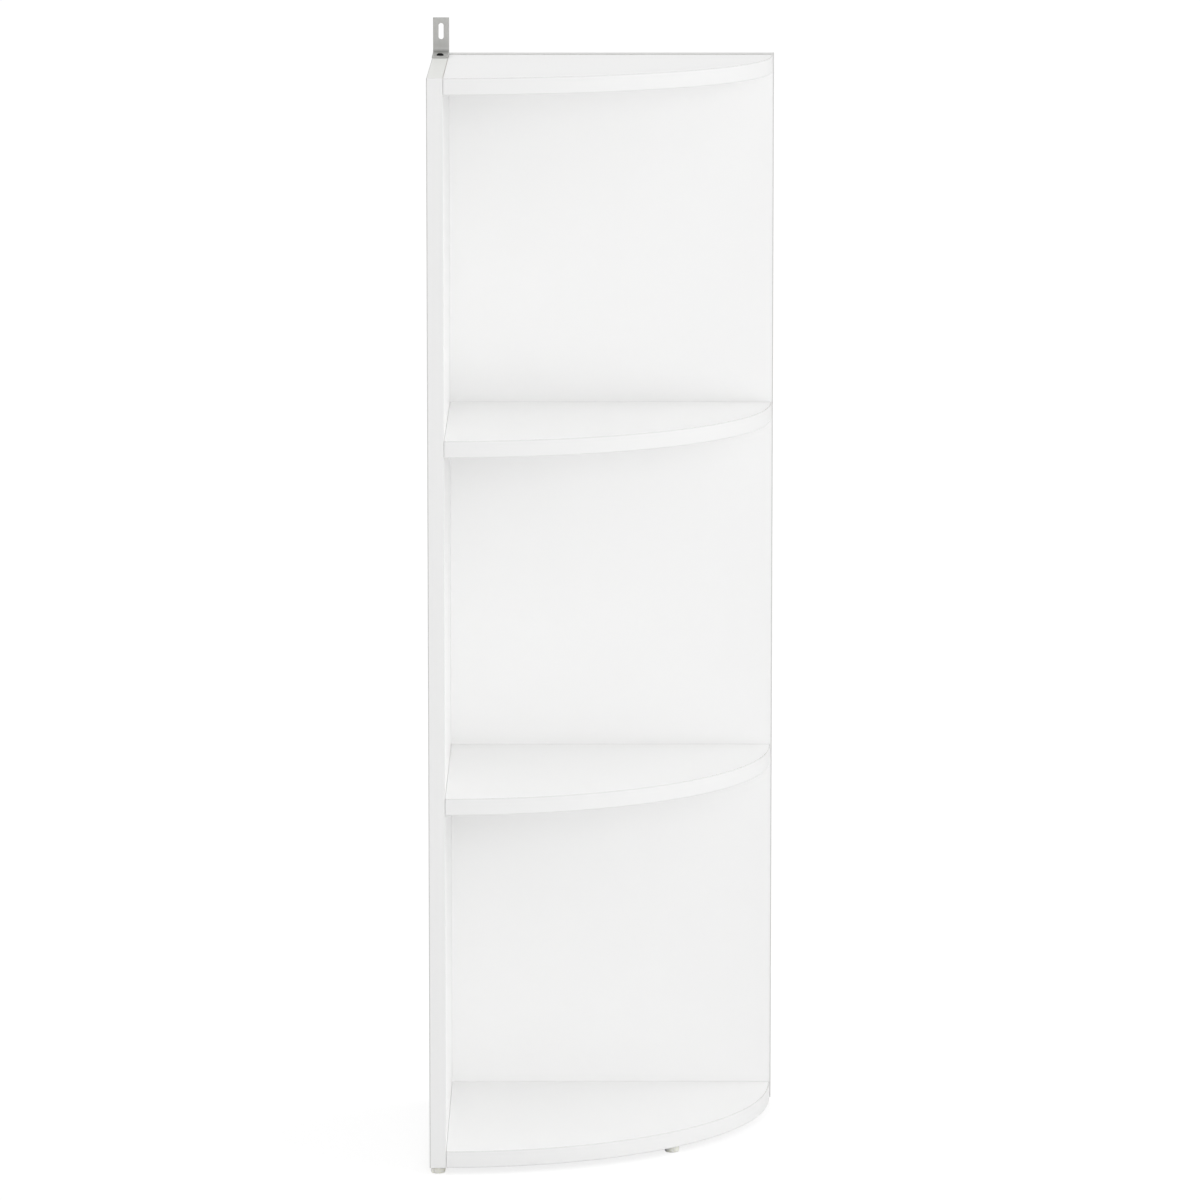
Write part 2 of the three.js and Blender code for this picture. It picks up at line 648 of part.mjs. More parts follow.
// The bent strip's outline, seen from the right: X runs away from the wall and Y up.
function bracketOutline() {
  const outerRadius = BRACKET_BEND_RADIUS + BRACKET_THICKNESS;
  const outline = new THREE.Shape();
  outline.moveTo(BRACKET_FOOT, 0);
  outline.lineTo(BRACKET_FOOT, BRACKET_THICKNESS);
  outline.absarc(outerRadius, outerRadius, BRACKET_BEND_RADIUS, -Math.PI / 2, -Math.PI, true);
  outline.lineTo(BRACKET_THICKNESS, BRACKET_LEG);
  outline.lineTo(0, BRACKET_LEG);
  outline.absarc(outerRadius, outerRadius, outerRadius, Math.PI, Math.PI * 1.5, false);
  return outline;
}

function wallBracket() {
  const strip = new THREE.ExtrudeGeometry(bracketOutline(), {
    depth: BRACKET_WIDTH,
    bevelEnabled: false,
    curveSegments: BEND_SEGMENTS / 2,
  });
  // The outline's X turns to the front, its Y stays up, and the strip's width runs along X.
  const frame = new THREE.Matrix4().makeBasis(FORWARDS, UPWARDS, RIGHTWARDS.clone().negate());
  strip.applyMatrix4(frame).translate(BRACKET_WIDTH / 2, 0, 0);

  const slotRadius = SLOT_WIDTH / 2;
  const halfStraight = SLOT_LENGTH / 2 - slotRadius;
  const stadium = new THREE.Shape();
  stadium.absarc(0, halfStraight, slotRadius, 0, Math.PI, false);
  stadium.absarc(0, -halfStraight, slotRadius, Math.PI, 2 * Math.PI, false);
  const slotDepth = BRACKET_THICKNESS + 2 * OVERRUN;
  const slot = new THREE.ExtrudeGeometry(stadium, {
    depth: slotDepth,
    bevelEnabled: false,
    curveSegments: BEND_SEGMENTS,
  });
  const slotHeight = BRACKET_LEG - SLOT_END_DISTANCE - SLOT_LENGTH / 2;
  slot.rotateX(Math.PI / 2).translate(0, OVERRUN, slotHeight);

  const holeDiameter = WOOD_SCREW_DIAMETER + BRACKET_HOLE_ROOM;
  const holeY = woodScrewY - rear;
  const hole = bore(holeDiameter, BRACKET_THICKNESS + OVERRUN, DOWNWARDS, 0, holeY, BRACKET_THICKNESS);
  return cut(strip, [slot, hole]);
}

// Pan-head wood screw, made along its axis with height zero under the head.
function woodScrew() {
  const shank = WOOD_SCREW_DIAMETER / 2;
  const headRadius = WOOD_SCREW_HEAD_DIAMETER / 2;
  const points = [
    [0, -WOOD_SCREW_LENGTH],
    [shank, -WOOD_SCREW_LENGTH + WOOD_SCREW_POINT],
    [shank, 0],
  ];
  for (let step = 0; step < DOME_SEGMENTS; step += 1) {
    const angle = (Math.PI / 2 / DOME_SEGMENTS) * step;
    points.push([headRadius * Math.cos(angle), WOOD_SCREW_HEAD_HEIGHT * Math.sin(angle)]);
  }
  points.push([0, WOOD_SCREW_HEAD_HEIGHT]);
  const drive = crossRecess(WOOD_SCREW_DRIVE_LENGTH, WOOD_SCREW_DRIVE_WIDTH, WOOD_SCREW_DRIVE_DEPTH);
  drive.forEach((bar) => bar.translate(0, WOOD_SCREW_HEAD_HEIGHT, 0).rotateY(Math.PI / 4));
  return cut(turned(points, BORE_SEGMENTS), drive);
}

function woodScrewBore() {
  return bore(WOOD_SCREW_DIAMETER + 2 * FIT, WOOD_SCREW_LENGTH, DOWNWARDS, bracketX, woodScrewY, panelTop);
}

function addBracket(parent) {
  const seat = panelTop + SEAT_GAP;
  addMesh(parent, "wall_bracket", wallBracket(), zincStrip, bracketX, rear, seat);
  const headSeat = seat + BRACKET_THICKNESS + SEAT_GAP;
  addAimed(parent, "bracket_screw", woodScrew(), blackSteel, UPWARDS, bracketX, woodScrewY, headSeat);
}

const unit = new THREE.Group();
unit.name = "corner_shelf_unit";
addSidePanel(unit);
addBackPanel(unit);
LEVEL_NAMES.forEach((name, level) => {
  const { x, y } = glidePlaces.middle;
  const nailPlace = level === 0 ? { x: x - innerLeft, y: y - innerRear } : null;
  addLevel(unit, name, levelUndersides[level], nailPlace);
});
addCornerDowels(unit);
addGlides(unit);
addBracket(unit);

export default unit;
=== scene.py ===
"""A white corner shelf unit with quarter-round boards, dressed for its picture.

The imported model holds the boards, panels, fittings and their places. This script gives them their
finishes, replaces the pieces whose edges, recesses and threads show with finer ones, and sets up the
picture. Lengths are in metres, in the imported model's frame: +X right, +Y towards the wall, +Z up, origin
on the floor.
"""

import math

import bpy
import numpy as np
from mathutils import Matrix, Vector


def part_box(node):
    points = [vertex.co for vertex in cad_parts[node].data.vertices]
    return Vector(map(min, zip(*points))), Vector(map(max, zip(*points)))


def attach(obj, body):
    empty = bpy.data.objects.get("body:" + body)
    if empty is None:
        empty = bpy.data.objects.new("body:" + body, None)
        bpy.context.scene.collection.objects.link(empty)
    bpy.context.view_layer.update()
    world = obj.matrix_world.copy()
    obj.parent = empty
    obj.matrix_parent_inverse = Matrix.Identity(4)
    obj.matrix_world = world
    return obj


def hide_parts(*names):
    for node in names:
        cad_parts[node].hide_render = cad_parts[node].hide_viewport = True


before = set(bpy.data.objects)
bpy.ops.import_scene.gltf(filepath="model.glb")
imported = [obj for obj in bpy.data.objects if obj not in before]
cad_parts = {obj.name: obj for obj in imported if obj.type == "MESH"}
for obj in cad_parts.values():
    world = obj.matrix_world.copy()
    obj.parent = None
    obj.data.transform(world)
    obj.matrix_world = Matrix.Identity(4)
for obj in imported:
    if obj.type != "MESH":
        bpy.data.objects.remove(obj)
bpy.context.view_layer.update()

MM = 0.001
BODY = "root"
LEVELS = ("bottom_board", "lower_shelf", "upper_shelf", "top_board")
NEARLY_ZERO = 1e-9

# The inner corner between the panels' faces, and the bands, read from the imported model
INNER_LEFT = float(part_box("side_panel")[1][0])
INNER_REAR = float(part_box("back_panel")[0][1])
BAND_THICKNESS = float(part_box("side_panel_front_band")[1][1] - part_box("side_panel_front_band")[0][1])

# Camera, placed where the photograph's perspective puts it
CAMERA_PLACE = (-0.02295, -6.9246, 1.5469)
CAMERA_LENS = 214.64
CAMERA_SENSOR = 36.0
CAMERA_PITCH = math.radians(8.305)
CAMERA_YAW = math.radians(-0.158)
CAMERA_REACH = 100.0

# Edge bands
BAND_ROUNDING = 0.9 * MM
BAND_ROUNDING_STEPS = 5
SCRAPE_AND_SHADE_FADE = 0.15 * MM  # over which the scraping and painted shade of a rounding end on the flat
CURVED_BAND_WEAR_AND_SHADE = (0.12, 0.25)  # scraping and painted shade on the lower and the upper corner
BAND_ARC_STEPS = 128
STRAIGHT_BANDS = {
    # node: (axis it faces along, which way, scraping and painted shade of its two corners, finish)
    "side_panel_front_band": (1, -1, (0.9, 0.15), "upright_band"),
    "side_panel_rear_band": (1, 1, (0.9, 0.6), "upright_band"),
    "side_panel_top_band": (2, 1, (0.7, 0.4), "side_top_band"),
    "back_panel_top_band": (2, 1, (0.6, 1.0), "back_top_band"),
    "back_panel_end_band": (0, 1, (0.9, 0.9), "upright_band"),
}

# Glides
GLIDE_TAPER = 0.35 * MM
GLIDE_ROUNDING = 1.3 * MM
GLIDE_CROWN = 0.1 * MM
GLIDE_LIP = 0.3 * MM
GLIDE_MIDDLE = 0.05  # share of the foot that the innermost ring takes
GLIDE_FOOT_RINGS = 6
GLIDE_ROUNDING_STEPS = 8
GLIDE_LIP_STEPS = 4

# Rings of turned pieces
GLIDE_STEPS = 64
HEAD_STEPS = 96
THREAD_STEPS = 24
THREAD_ROWS_PER_TURN = 8
DOWEL_FLUTES = 16
DOWEL_STEPS_PER_FLUTE = 6

SHARP_ANGLE = math.radians(34)


def node_box(name):
    """Lowest and highest corner of a CAD node, as arrays."""
    low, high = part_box(name)
    return np.array(low), np.array(high)


# Meshes


def grid_faces(rows, columns, wrap_rows=False, wrap_columns=False):
    """Quads of a grid of vertices numbered row by row; a wrapped direction joins its ends."""
    i = np.arange(rows if wrap_rows else rows - 1)[:, None]
    j = np.arange(columns if wrap_columns else columns - 1)[None, :]
    next_i = (i + 1) % rows
    next_j = (j + 1) % columns
    corners = (i * columns + j, i * columns + next_j, next_i * columns + next_j, next_i * columns + j)
    return np.stack(corners, axis=-1).reshape(-1, 4)


def enclosed_volume(vertices, faces):
    """Sum over fans of triangles of a . (b x c) / 6, which is negative when the faces point inwards."""
    total = 0.0
    for polygon in faces:
        a = vertices[polygon[0]]
        b = vertices[list(polygon[1:-1])]
        c = vertices[list(polygon[2:])]
        total += float(np.sum(np.cross(b, c) @ a))
    return total / 6


def add_piece(name, vertices, faces, material, replaced=(), scraped_and_shaded=None):
    """A closed mesh with outward faces that rides on the unit's body and stands for CAD nodes.

    Each vertex may carry a value from 0 to 1, which the banding's material reads: partly scraping, partly
    painted shade that darkens the roundings into lines along the edges.
    """
    if enclosed_volume(vertices, faces) < 0:
        faces = [polygon[::-1] for polygon in faces]
    mesh = bpy.data.meshes.new(name)
    mesh.from_pydata(vertices.tolist(), [], [list(map(int, polygon)) for polygon in faces])
    mesh.validate()
    if scraped_and_shaded is not None:
        wear_and_shade = mesh.attributes.new("scraped_and_shaded", "FLOAT", "POINT")
        wear_and_shade.data.foreach_set("value", scraped_and_shaded.astype(np.float32))
    piece = bpy.data.objects.new(name, mesh)
    bpy.context.scene.collection.objects.link(piece)
    mesh.materials.append(material)
    smooth(piece)
    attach(piece, BODY)
    if replaced:
        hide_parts(*replaced)
    return piece


def smooth(piece):
    """Smooth shading with sharp edges kept, and the large flat faces kept flat by their weight."""
    mesh = piece.data
    mesh.shade_smooth()
    mesh.set_sharp_from_angle(angle=SHARP_ANGLE)
    weighted = piece.modifiers.new("flat_faces", "WEIGHTED_NORMAL")
    weighted.keep_sharp = True


def swept_mesh(rings):
    """Closed profiles joined ring to ring, with the first and the last one closed by a flat polygon.

    rings is an array of shape (stations, profile points, 3).
    """
    stations, points, _ = rings.shape
    faces = [tuple(quad) for quad in grid_faces(stations, points, wrap_columns=True)]
    faces.append(tuple(range(points))[::-1])
    faces.append(tuple(range((stations - 1) * points, stations * points)))
    return rings.reshape(-1, 3), faces


def turned_mesh(radii, heights, axis, origin):
    """Rings about an axis: point = origin + r (cos t u + sin t v) + h w, closed by a fan at each end.

    radii has shape (rings, steps), so that a ring need not be round; heights has shape (rings,) or
    (rings, steps). w is the axis, and u and v are the two directions across it.
    """
    rings, steps = radii.shape
    if heights.ndim == 1:
        heights = np.repeat(heights[:, None], steps, axis=1)
    w = np.array(axis, dtype=float)
    u = np.roll(w, 1)
    v = np.cross(w, u)
    angles = np.arange(steps) * 2 * math.pi / steps
    spokes = np.cos(angles)[:, None] * u + np.sin(angles)[:, None] * v
    points = np.array(origin) + radii[..., None] * spokes + heights[..., None] * w
    ends = np.stack((points[0].mean(axis=0), points[-1].mean(axis=0)))
    vertices = np.concatenate((points.reshape(-1, 3), ends))
    faces = [tuple(quad) for quad in grid_faces(rings, steps, wrap_columns=True)]
    around = np.arange(steps)
    after = (around + 1) % steps
    last = (rings - 1) * steps
    faces += [(rings * steps, b, a) for a, b in zip(around, after)]
    faces += [(rings * steps + 1, last + a, last + b) for a, b in zip(around, after)]
    return vertices, faces


def round_rings(profile, steps):
    """Radii and heights of plain round rings from (radius, height) points."""
    profile = np.array(profile, dtype=float)
    return np.repeat(profile[:, :1], steps, axis=1), profile[:, 1]


def arc_points(centre, radius, start, end, steps):
    """Points of a circular arc in a plane, both ends included: centre + radius (cos a, sin a)."""
    angles = np.linspace(start, end, steps + 1)
    return np.array(centre) + radius * np.stack((np.cos(angles), np.sin(angles)), axis=1)


# Outlines in polar form, as the distance from the middle in each direction


def cross_outline(angles, half_length, half_width):
    """Two crossed bars: in each direction the farther end of the two bars counts."""
    c = np.maximum(np.abs(np.cos(angles)), NEARLY_ZERO)
    s = np.maximum(np.abs(np.sin(angles)), NEARLY_ZERO)
    along = np.minimum(half_length / c, half_width / s)
    across = np.minimum(half_length / s, half_width / c)
    return np.maximum(along, across)


def hexagon_outline(angles, across_flats):
    """A hexagon: half the width across flats over the cosine of the angle to the nearest flat."""
    sector = math.pi / 3
    return across_flats / 2 / np.cos((angles + sector / 2) % sector - sector / 2)


def slot_outline(angles, half_straight, radius):
    """A slot along direction zero: its straight side where the ray meets it, else its round end."""
    c = np.abs(np.cos(angles))
    s = np.maximum(np.abs(np.sin(angles)), NEARLY_ZERO)
    on_side = radius * c / s <= half_straight
    inside = np.maximum(radius**2 - (half_straight * s) ** 2, 0)
    return np.where(on_side, radius / s, half_straight * c + np.sqrt(inside))


# Shader building


def add_node(tree, kind, settings=None, **inputs):
    """A shader node. An input given as a socket is linked, and any other value is set."""
    node = tree.nodes.new(kind)
    for key, value in (settings or {}).items():
        setattr(node, key, value)
    for key, value in inputs.items():
        socket = node.inputs[key.replace("_", " ")]
        if isinstance(value, bpy.types.NodeSocket):
            tree.links.new(value, socket)
        else:
            socket.default_value = value
    return node


def math_node(tree, operation, a, b=None, clamp=False):
    """The result of a Math node."""
    node = tree.nodes.new("ShaderNodeMath")
    node.operation = operation
    node.use_clamp = clamp
    for socket, value in zip(node.inputs, (a, b)):
        if isinstance(value, bpy.types.NodeSocket):
            tree.links.new(value, socket)
        elif value is not None:
            socket.default_value = value
    return node.outputs[0]


def mix_colours(tree, factor, a, b):
    """A colour between a and b."""
    node = tree.nodes.new("ShaderNodeMix")
    node.data_type = "RGBA"
    for socket, value in ((node.inputs[0], factor), (node.inputs[6], a), (node.inputs[7], b)):
        if isinstance(value, bpy.types.NodeSocket):
            tree.links.new(value, socket)
        else:
            socket.default_value = value
    return node.outputs[2]


def mix_values(tree, factor, a, b):
    """A number between a and b."""
    node = tree.nodes.new("ShaderNodeMix")
    for socket, value in zip(node.inputs[:1] + node.inputs[2:4], (factor, a, b)):
        if isinstance(value, bpy.types.NodeSocket):
            tree.links.new(value, socket)
        else:
            socket.default_value = value
    return node.outputs[0]


def noise(tree, vector, scale, detail=2.0, roughness=0.5):
    """A noise value from 0 to 1, about scale cells to a metre."""
    settings = {"Vector": vector, "Scale": scale, "Detail": detail, "Roughness": roughness}
    return add_node(tree, "ShaderNodeTexNoise", **settings).outputs["Fac"]


def stretched(tree, vector, scale):
    """Coordinates scaled apart along X, Y and Z, to draw a pattern out in one direction."""
    mapping = add_node(tree, "ShaderNodeMapping", {"vector_type": "POINT"}, Vector=vector, Scale=scale)
    return mapping.outputs[0]


def stops(tree, factor, colours):
    """A colour ramp through (position, colour) stops."""
    node = add_node(tree, "ShaderNodeValToRGB", Fac=factor)
    elements = node.color_ramp.elements
    while len(elements) < len(colours):
        elements.new(0.5)
    for element, (position, colour) in zip(elements, colours):
        element.position = position
        element.color = colour
    return node.outputs["Color"]


def new_group(name, inputs, outputs):
    """An empty shader node group with named sockets: its tree, its input node and its output node."""
    tree = bpy.data.node_groups.new(name, "ShaderNodeTree")
    for key, (kind, value) in inputs.items():
        socket = tree.interface.new_socket(name=key, in_out="INPUT", socket_type=kind)
        if value is not None:
            socket.default_value = value
    for key, kind in outputs.items():
        tree.interface.new_socket(name=key, in_out="OUTPUT", socket_type=kind)
    return tree, tree.nodes.new("NodeGroupInput"), tree.nodes.new("NodeGroupOutput")


def use_group(tree, group, **inputs):
    """A group placed in a material."""
    node = tree.nodes.new("ShaderNodeGroup")
    node.node_tree = group
    for key, value in inputs.items():
        socket = node.inputs[key]
        if isinstance(value, bpy.types.NodeSocket):
            tree.links.new(value, socket)
        else:
            socket.default_value = value
    return node


def group_fine_texture():
    """Fine pressed texture: small noise over a coarser one, and soft smudges that change the gloss."""
    sockets = {
        "Vector": ("NodeSocketVector", None),
        "Scale": ("NodeSocketFloat", 1500.0),
        "Smudge Scale": ("NodeSocketFloat", 14.0),
        "Dull": ("NodeSocketFloat", 0.5),
        "Glossy": ("NodeSocketFloat", 0.4),
    }
    outputs = {"Height": "NodeSocketFloat", "Smudge": "NodeSocketFloat", "Roughness": "NodeSocketFloat"}
    tree, given, result = new_group("fine_texture", sockets, outputs)
    vector = given.outputs["Vector"]
    scale = given.outputs["Scale"]
    fine = noise(tree, vector, scale, detail=3.0, roughness=0.6)
    coarse = noise(tree, vector, math_node(tree, "MULTIPLY", scale, 0.22), detail=1.0)
    height = mix_values(tree, 0.35, fine, coarse)
    smudge = noise(tree, vector, given.outputs["Smudge Scale"], detail=3.0, roughness=0.55)
    rough = mix_values(tree, smudge, given.outputs["Glossy"], given.outputs["Dull"])
    grain = math_node(tree, "MULTIPLY", math_node(tree, "SUBTRACT", fine, 0.5), 0.08)
    rough = math_node(tree, "ADD", rough, grain)
    tree.links.new(height, result.inputs["Height"])
    tree.links.new(smudge, result.inputs["Smudge"])
    tree.links.new(rough, result.inputs["Roughness"])
    return tree


def group_chipboard():
    """Pressed wood chips: stretched cells of three browns with dark pores between them."""
    sockets = {"Vector": ("NodeSocketVector", None), "Scale": ("NodeSocketFloat", 420.0)}
    outputs = {"Color": "NodeSocketColor", "Height": "NodeSocketFloat"}
    tree, given, result = new_group("chipboard", sockets, outputs)
    vector = given.outputs["Vector"]
    bend = noise(tree, vector, 160.0, detail=2.0)
    shifted = add_node(tree, "ShaderNodeVectorMath", {"operation": "MULTIPLY_ADD"})
    tree.links.new(vector, shifted.inputs[0])
    shifted.inputs[1].default_value = (1.0, 1.0, 1.6)
    offset = add_node(tree, "ShaderNodeCombineXYZ", X=math_node(tree, "MULTIPLY", bend, 0.004))
    tree.links.new(offset.outputs[0], shifted.inputs[2])
    cells = add_node(tree, "ShaderNodeTexVoronoi", {"feature": "F1"}, Vector=shifted.outputs[0])
    tree.links.new(given.outputs["Scale"], cells.inputs["Scale"])
    pick = add_node(tree, "ShaderNodeSeparateColor", Color=cells.outputs["Color"]).outputs[0]
    browns = stops(tree, pick, CHIP_BROWNS)
    gaps = math_node(tree, "SMOOTH_MIN", math_node(tree, "MULTIPLY", cells.outputs["Distance"], 1.6), 1.0)
    fibres = noise(tree, stretched(tree, vector, (900.0, 900.0, 2600.0)), 1.0, detail=3.0)
    tone = math_node(tree, "ADD", math_node(tree, "MULTIPLY", fibres, 0.5), 0.7)
    tone = math_node(tree, "SUBTRACT", tone, math_node(tree, "MULTIPLY", gaps, 0.35))
    shade = add_node(tree, "ShaderNodeVectorMath", {"operation": "SCALE"})
    tree.links.new(browns, shade.inputs[0])
    tree.links.new(tone, shade.inputs["Scale"])
    tree.links.new(shade.outputs[0], result.inputs["Color"])
    tree.links.new(math_node(tree, "SUBTRACT", fibres, gaps), result.inputs["Height"])
    return tree


def group_drawn_lines():
    """Fine lines drawn out along one direction, as rolling or extruding leaves them."""
    sockets = {"Vector": ("NodeSocketVector", None), "Stretch": ("NodeSocketVector", (1.0, 1.0, 1.0))}
    outputs = {"Height": "NodeSocketFloat", "Streak": "NodeSocketFloat"}
    tree, given, result = new_group("drawn_lines", sockets, outputs)
    drawn = stretched(tree, given.outputs["Vector"], given.outputs["Stretch"])
    lines = noise(tree, drawn, 1.0, detail=4.0, roughness=0.65)
    streak = noise(tree, drawn, 0.16, detail=2.0)
    tree.links.new(lines, result.inputs["Height"])
    tree.links.new(streak, result.inputs["Streak"])
    return tree


GROUPS = {}

# Relief of the finishes: strength and depth of their bump
MELAMINE_RELIEF = (0.35, 0.2 * MM)
BAND_RELIEF = (0.05, 0.1 * MM)
CAST_RELIEF = (0.25, 0.2 * MM)
BLACK_RELIEF = (0.2, 0.1 * MM)
BEECH_RELIEF = (0.3, 0.2 * MM)
CREAM_RELIEF = (0.12, 0.1 * MM)
PLATING_DEPTH = 0.1 * MM
SKIN_FACING = 0.7  # a face is skin where its normal lies at least this far along the skin's axis
SKIN_SHARE = 0.12  # of the skin's relief against the sawn chips'
CHIP_ROUGHNESS = 0.85
SCRAPED_ROUGHNESS = 0.6

# Colours of the finishes; where there are two, the finish varies between them
# The boards, side panel and back panel are one white melamine. Their three whites are painted light and
# shade: the boards lighter and the side panel darker, set to the brightness each face shows under the
# light.
BOARD_WHITE = (0.958, 0.958, 0.955, 1)
BOARD_WHITE_2 = (0.966, 0.966, 0.963, 1)
SIDE_WHITE = (0.912, 0.912, 0.909, 1)
SIDE_WHITE_2 = (0.920, 0.920, 0.917, 1)
BACK_WHITE = (0.930, 0.930, 0.928, 1)
BACK_WHITE_2 = (0.938, 0.938, 0.936, 1)
BAND_WHITE = (0.834, 0.834, 0.831, 1)
BAND_WHITE_2 = (0.844, 0.844, 0.841, 1)
# The two top bands are the same banding as the others, given their own whites to match the tone their
# faces show under the light: painted light and shade, the back one greyer for the shade at its joint.
TOP_BAND_WHITE = (0.830, 0.834, 0.804, 1)
TOP_BAND_WHITE_2 = (0.848, 0.852, 0.824, 1)
BACK_BAND_GREY = (0.818, 0.818, 0.808, 1)
BACK_BAND_GREY_2 = (0.843, 0.843, 0.833, 1)
# grey of the band roundings: partly scraping, partly painted shade for dark lines along the edges
SCRAPED_AND_SHADED_GREY = (0.60, 0.60, 0.59, 1)
BRACKET_ZINC = (0.49, 0.49, 0.475, 1)
BRACKET_ZINC_2 = (0.67, 0.67, 0.65, 1)
SCREW_ZINC = (0.50, 0.50, 0.47, 1)
SCREW_ZINC_2 = (0.66, 0.66, 0.63, 1)
CAST_GREY = (0.36, 0.36, 0.35, 1)
CAST_GREY_2 = (0.50, 0.50, 0.49, 1)
SCREW_BLACK = (0.004, 0.004, 0.005, 1)
SCREW_BLACK_2 = (0.012, 0.011, 0.010, 1)
CREAM = (0.88, 0.885, 0.75, 1)
CREAM_2 = (0.91, 0.91, 0.80, 1)
MILKY_DEPTH = 8 * MM  # how far light spreads inside the glides' plastic
MILKY_SPREAD = (1.0, 1.0, 0.8)  # shares of it for red, green and blue
CHIP_BROWNS = (
    (0.0, (0.30, 0.19, 0.10, 1)),
    (0.4, (0.47, 0.33, 0.19, 1)),
    (0.75, (0.60, 0.45, 0.28, 1)),
    (1.0, (0.70, 0.56, 0.38, 1)),
)
BEECH_BROWNS = (
    (0.3, (0.45, 0.27, 0.13, 1)),
    (0.5, (0.62, 0.40, 0.21, 1)),
    (0.75, (0.72, 0.50, 0.29, 1)),
)
BEECH_FLECK = (0.30, 0.16, 0.07, 1)

# How far the lines of a drawn or rolled finish are spread apart along X, Y and Z
LEVEL_LINES = (6.0, 6.0, 1400.0)
UPRIGHT_LINES = (1400.0, 1400.0, 6.0)
LINES_ALONG_Y = (1400.0, 6.0, 1400.0)
LINES_ALONG_X = (6.0, 1400.0, 1400.0)
STRIP_LINES = (900.0, 25.0, 25.0)
EVEN_LINES = (900.0, 900.0, 900.0)


def new_material(name):
    """A material with a Principled shader: the material, its tree, its shader and object coordinates."""
    material = bpy.data.materials.new(name)
    material.use_nodes = True
    tree = material.node_tree
    shader = tree.nodes["Principled BSDF"]
    vector = tree.nodes.new("ShaderNodeTexCoord").outputs["Object"]
    return material, tree, shader, vector


def bumped(tree, shader, height, strength, depth):
    """Feeds the shader's normal from a height."""
    bump = add_node(tree, "ShaderNodeBump", Strength=strength, Distance=depth, Height=height)
    tree.links.new(bump.outputs[0], shader.inputs["Normal"])


def melamine(name, skin_axis, first, second):
    """White melamine on the two faces across skin_axis, bare chipboard on sawn edges and in bores."""
    material, tree, shader, vector = new_material(name)
    skin = use_group(tree, GROUPS["fine_texture"], Vector=vector, Scale=1700.0, Dull=0.5, Glossy=0.4)
    skin.inputs["Smudge Scale"].default_value = 9.0
    white = mix_colours(tree, skin.outputs["Smudge"], first, second)
    core = use_group(tree, GROUPS["chipboard"], Vector=vector, Scale=420.0)
    normal = add_node(tree, "ShaderNodeTexCoord").outputs["Normal"]
    facing = add_node(tree, "ShaderNodeSeparateXYZ", Vector=normal).outputs[skin_axis]
    on_skin = math_node(tree, "GREATER_THAN", math_node(tree, "ABSOLUTE", facing), SKIN_FACING)
    colour = mix_colours(tree, on_skin, core.outputs["Color"], white)
    tree.links.new(colour, shader.inputs["Base Color"])
    roughness = mix_values(tree, on_skin, CHIP_ROUGHNESS, skin.outputs["Roughness"])
    tree.links.new(roughness, shader.inputs["Roughness"])
    skin_height = math_node(tree, "MULTIPLY", skin.outputs["Height"], SKIN_SHARE)
    height = mix_values(tree, on_skin, core.outputs["Height"], skin_height)
    bumped(tree, shader, height, *MELAMINE_RELIEF)
    return material


def edge_band(name, stretch, first, second):
    """Satin plastic banding with faint lines along it, duller and greyer on its rounded corners: scraping,
    with painted shade that draws dark lines along the edges.
    """
    material, tree, shader, vector = new_material(name)
    lines = use_group(tree, GROUPS["drawn_lines"], Vector=vector, Stretch=stretch)
    skin = use_group(tree, GROUPS["fine_texture"], Vector=vector, Scale=1500.0, Dull=0.44, Glossy=0.34)
    scraped_and_shaded = add_node(tree, "ShaderNodeAttribute", {"attribute_name": "scraped_and_shaded"}).outputs["Fac"]
    white = mix_colours(tree, lines.outputs["Streak"], first, second)
    # painted shade: the roundings turn grey to draw dark lines along the edges
    tree.links.new(mix_colours(tree, scraped_and_shaded, white, SCRAPED_AND_SHADED_GREY), shader.inputs["Base Color"])
    roughness = mix_values(tree, scraped_and_shaded, skin.outputs["Roughness"], SCRAPED_ROUGHNESS)
    tree.links.new(roughness, shader.inputs["Roughness"])
    height = mix_values(tree, 0.4, lines.outputs["Height"], skin.outputs["Height"])
    bumped(tree, shader, height, *BAND_RELIEF)
    return material


def plated_steel(name, dark, light, stretch, dull, glossy, relief):
    """Zinc-plated steel: a cloudy grey over fine drawn lines."""
    material, tree, shader, vector = new_material(name)
    lines = use_group(tree, GROUPS["drawn_lines"], Vector=vector, Stretch=stretch)
    cloud = use_group(tree, GROUPS["fine_texture"], Vector=vector, Scale=2400.0, Dull=dull, Glossy=glossy)
    cloud.inputs["Smudge Scale"].default_value = 160.0
    blend = mix_values(tree, 0.5, lines.outputs["Streak"], cloud.outputs["Smudge"])
    tree.links.new(mix_colours(tree, blend, dark, light), shader.inputs["Base Color"])
    tree.links.new(cloud.outputs["Roughness"], shader.inputs["Roughness"])
    shader.inputs["Metallic"].default_value = 1.0
    height = mix_values(tree, 0.3, lines.outputs["Height"], cloud.outputs["Height"])
    bumped(tree, shader, height, relief, PLATING_DEPTH)
    return material


def cast_metal(name):
    """Dull die-cast zinc with a pitted skin."""
    material, tree, shader, vector = new_material(name)
    skin = use_group(tree, GROUPS["fine_texture"], Vector=vector, Scale=1300.0, Dull=0.62, Glossy=0.45)
    skin.inputs["Smudge Scale"].default_value = 220.0
    grey = mix_colours(tree, skin.outputs["Smudge"], CAST_GREY, CAST_GREY_2)
    tree.links.new(grey, shader.inputs["Base Color"])
    tree.links.new(skin.outputs["Roughness"], shader.inputs["Roughness"])
    shader.inputs["Metallic"].default_value = 0.9
    bumped(tree, shader, skin.outputs["Height"], *CAST_RELIEF)
    return material


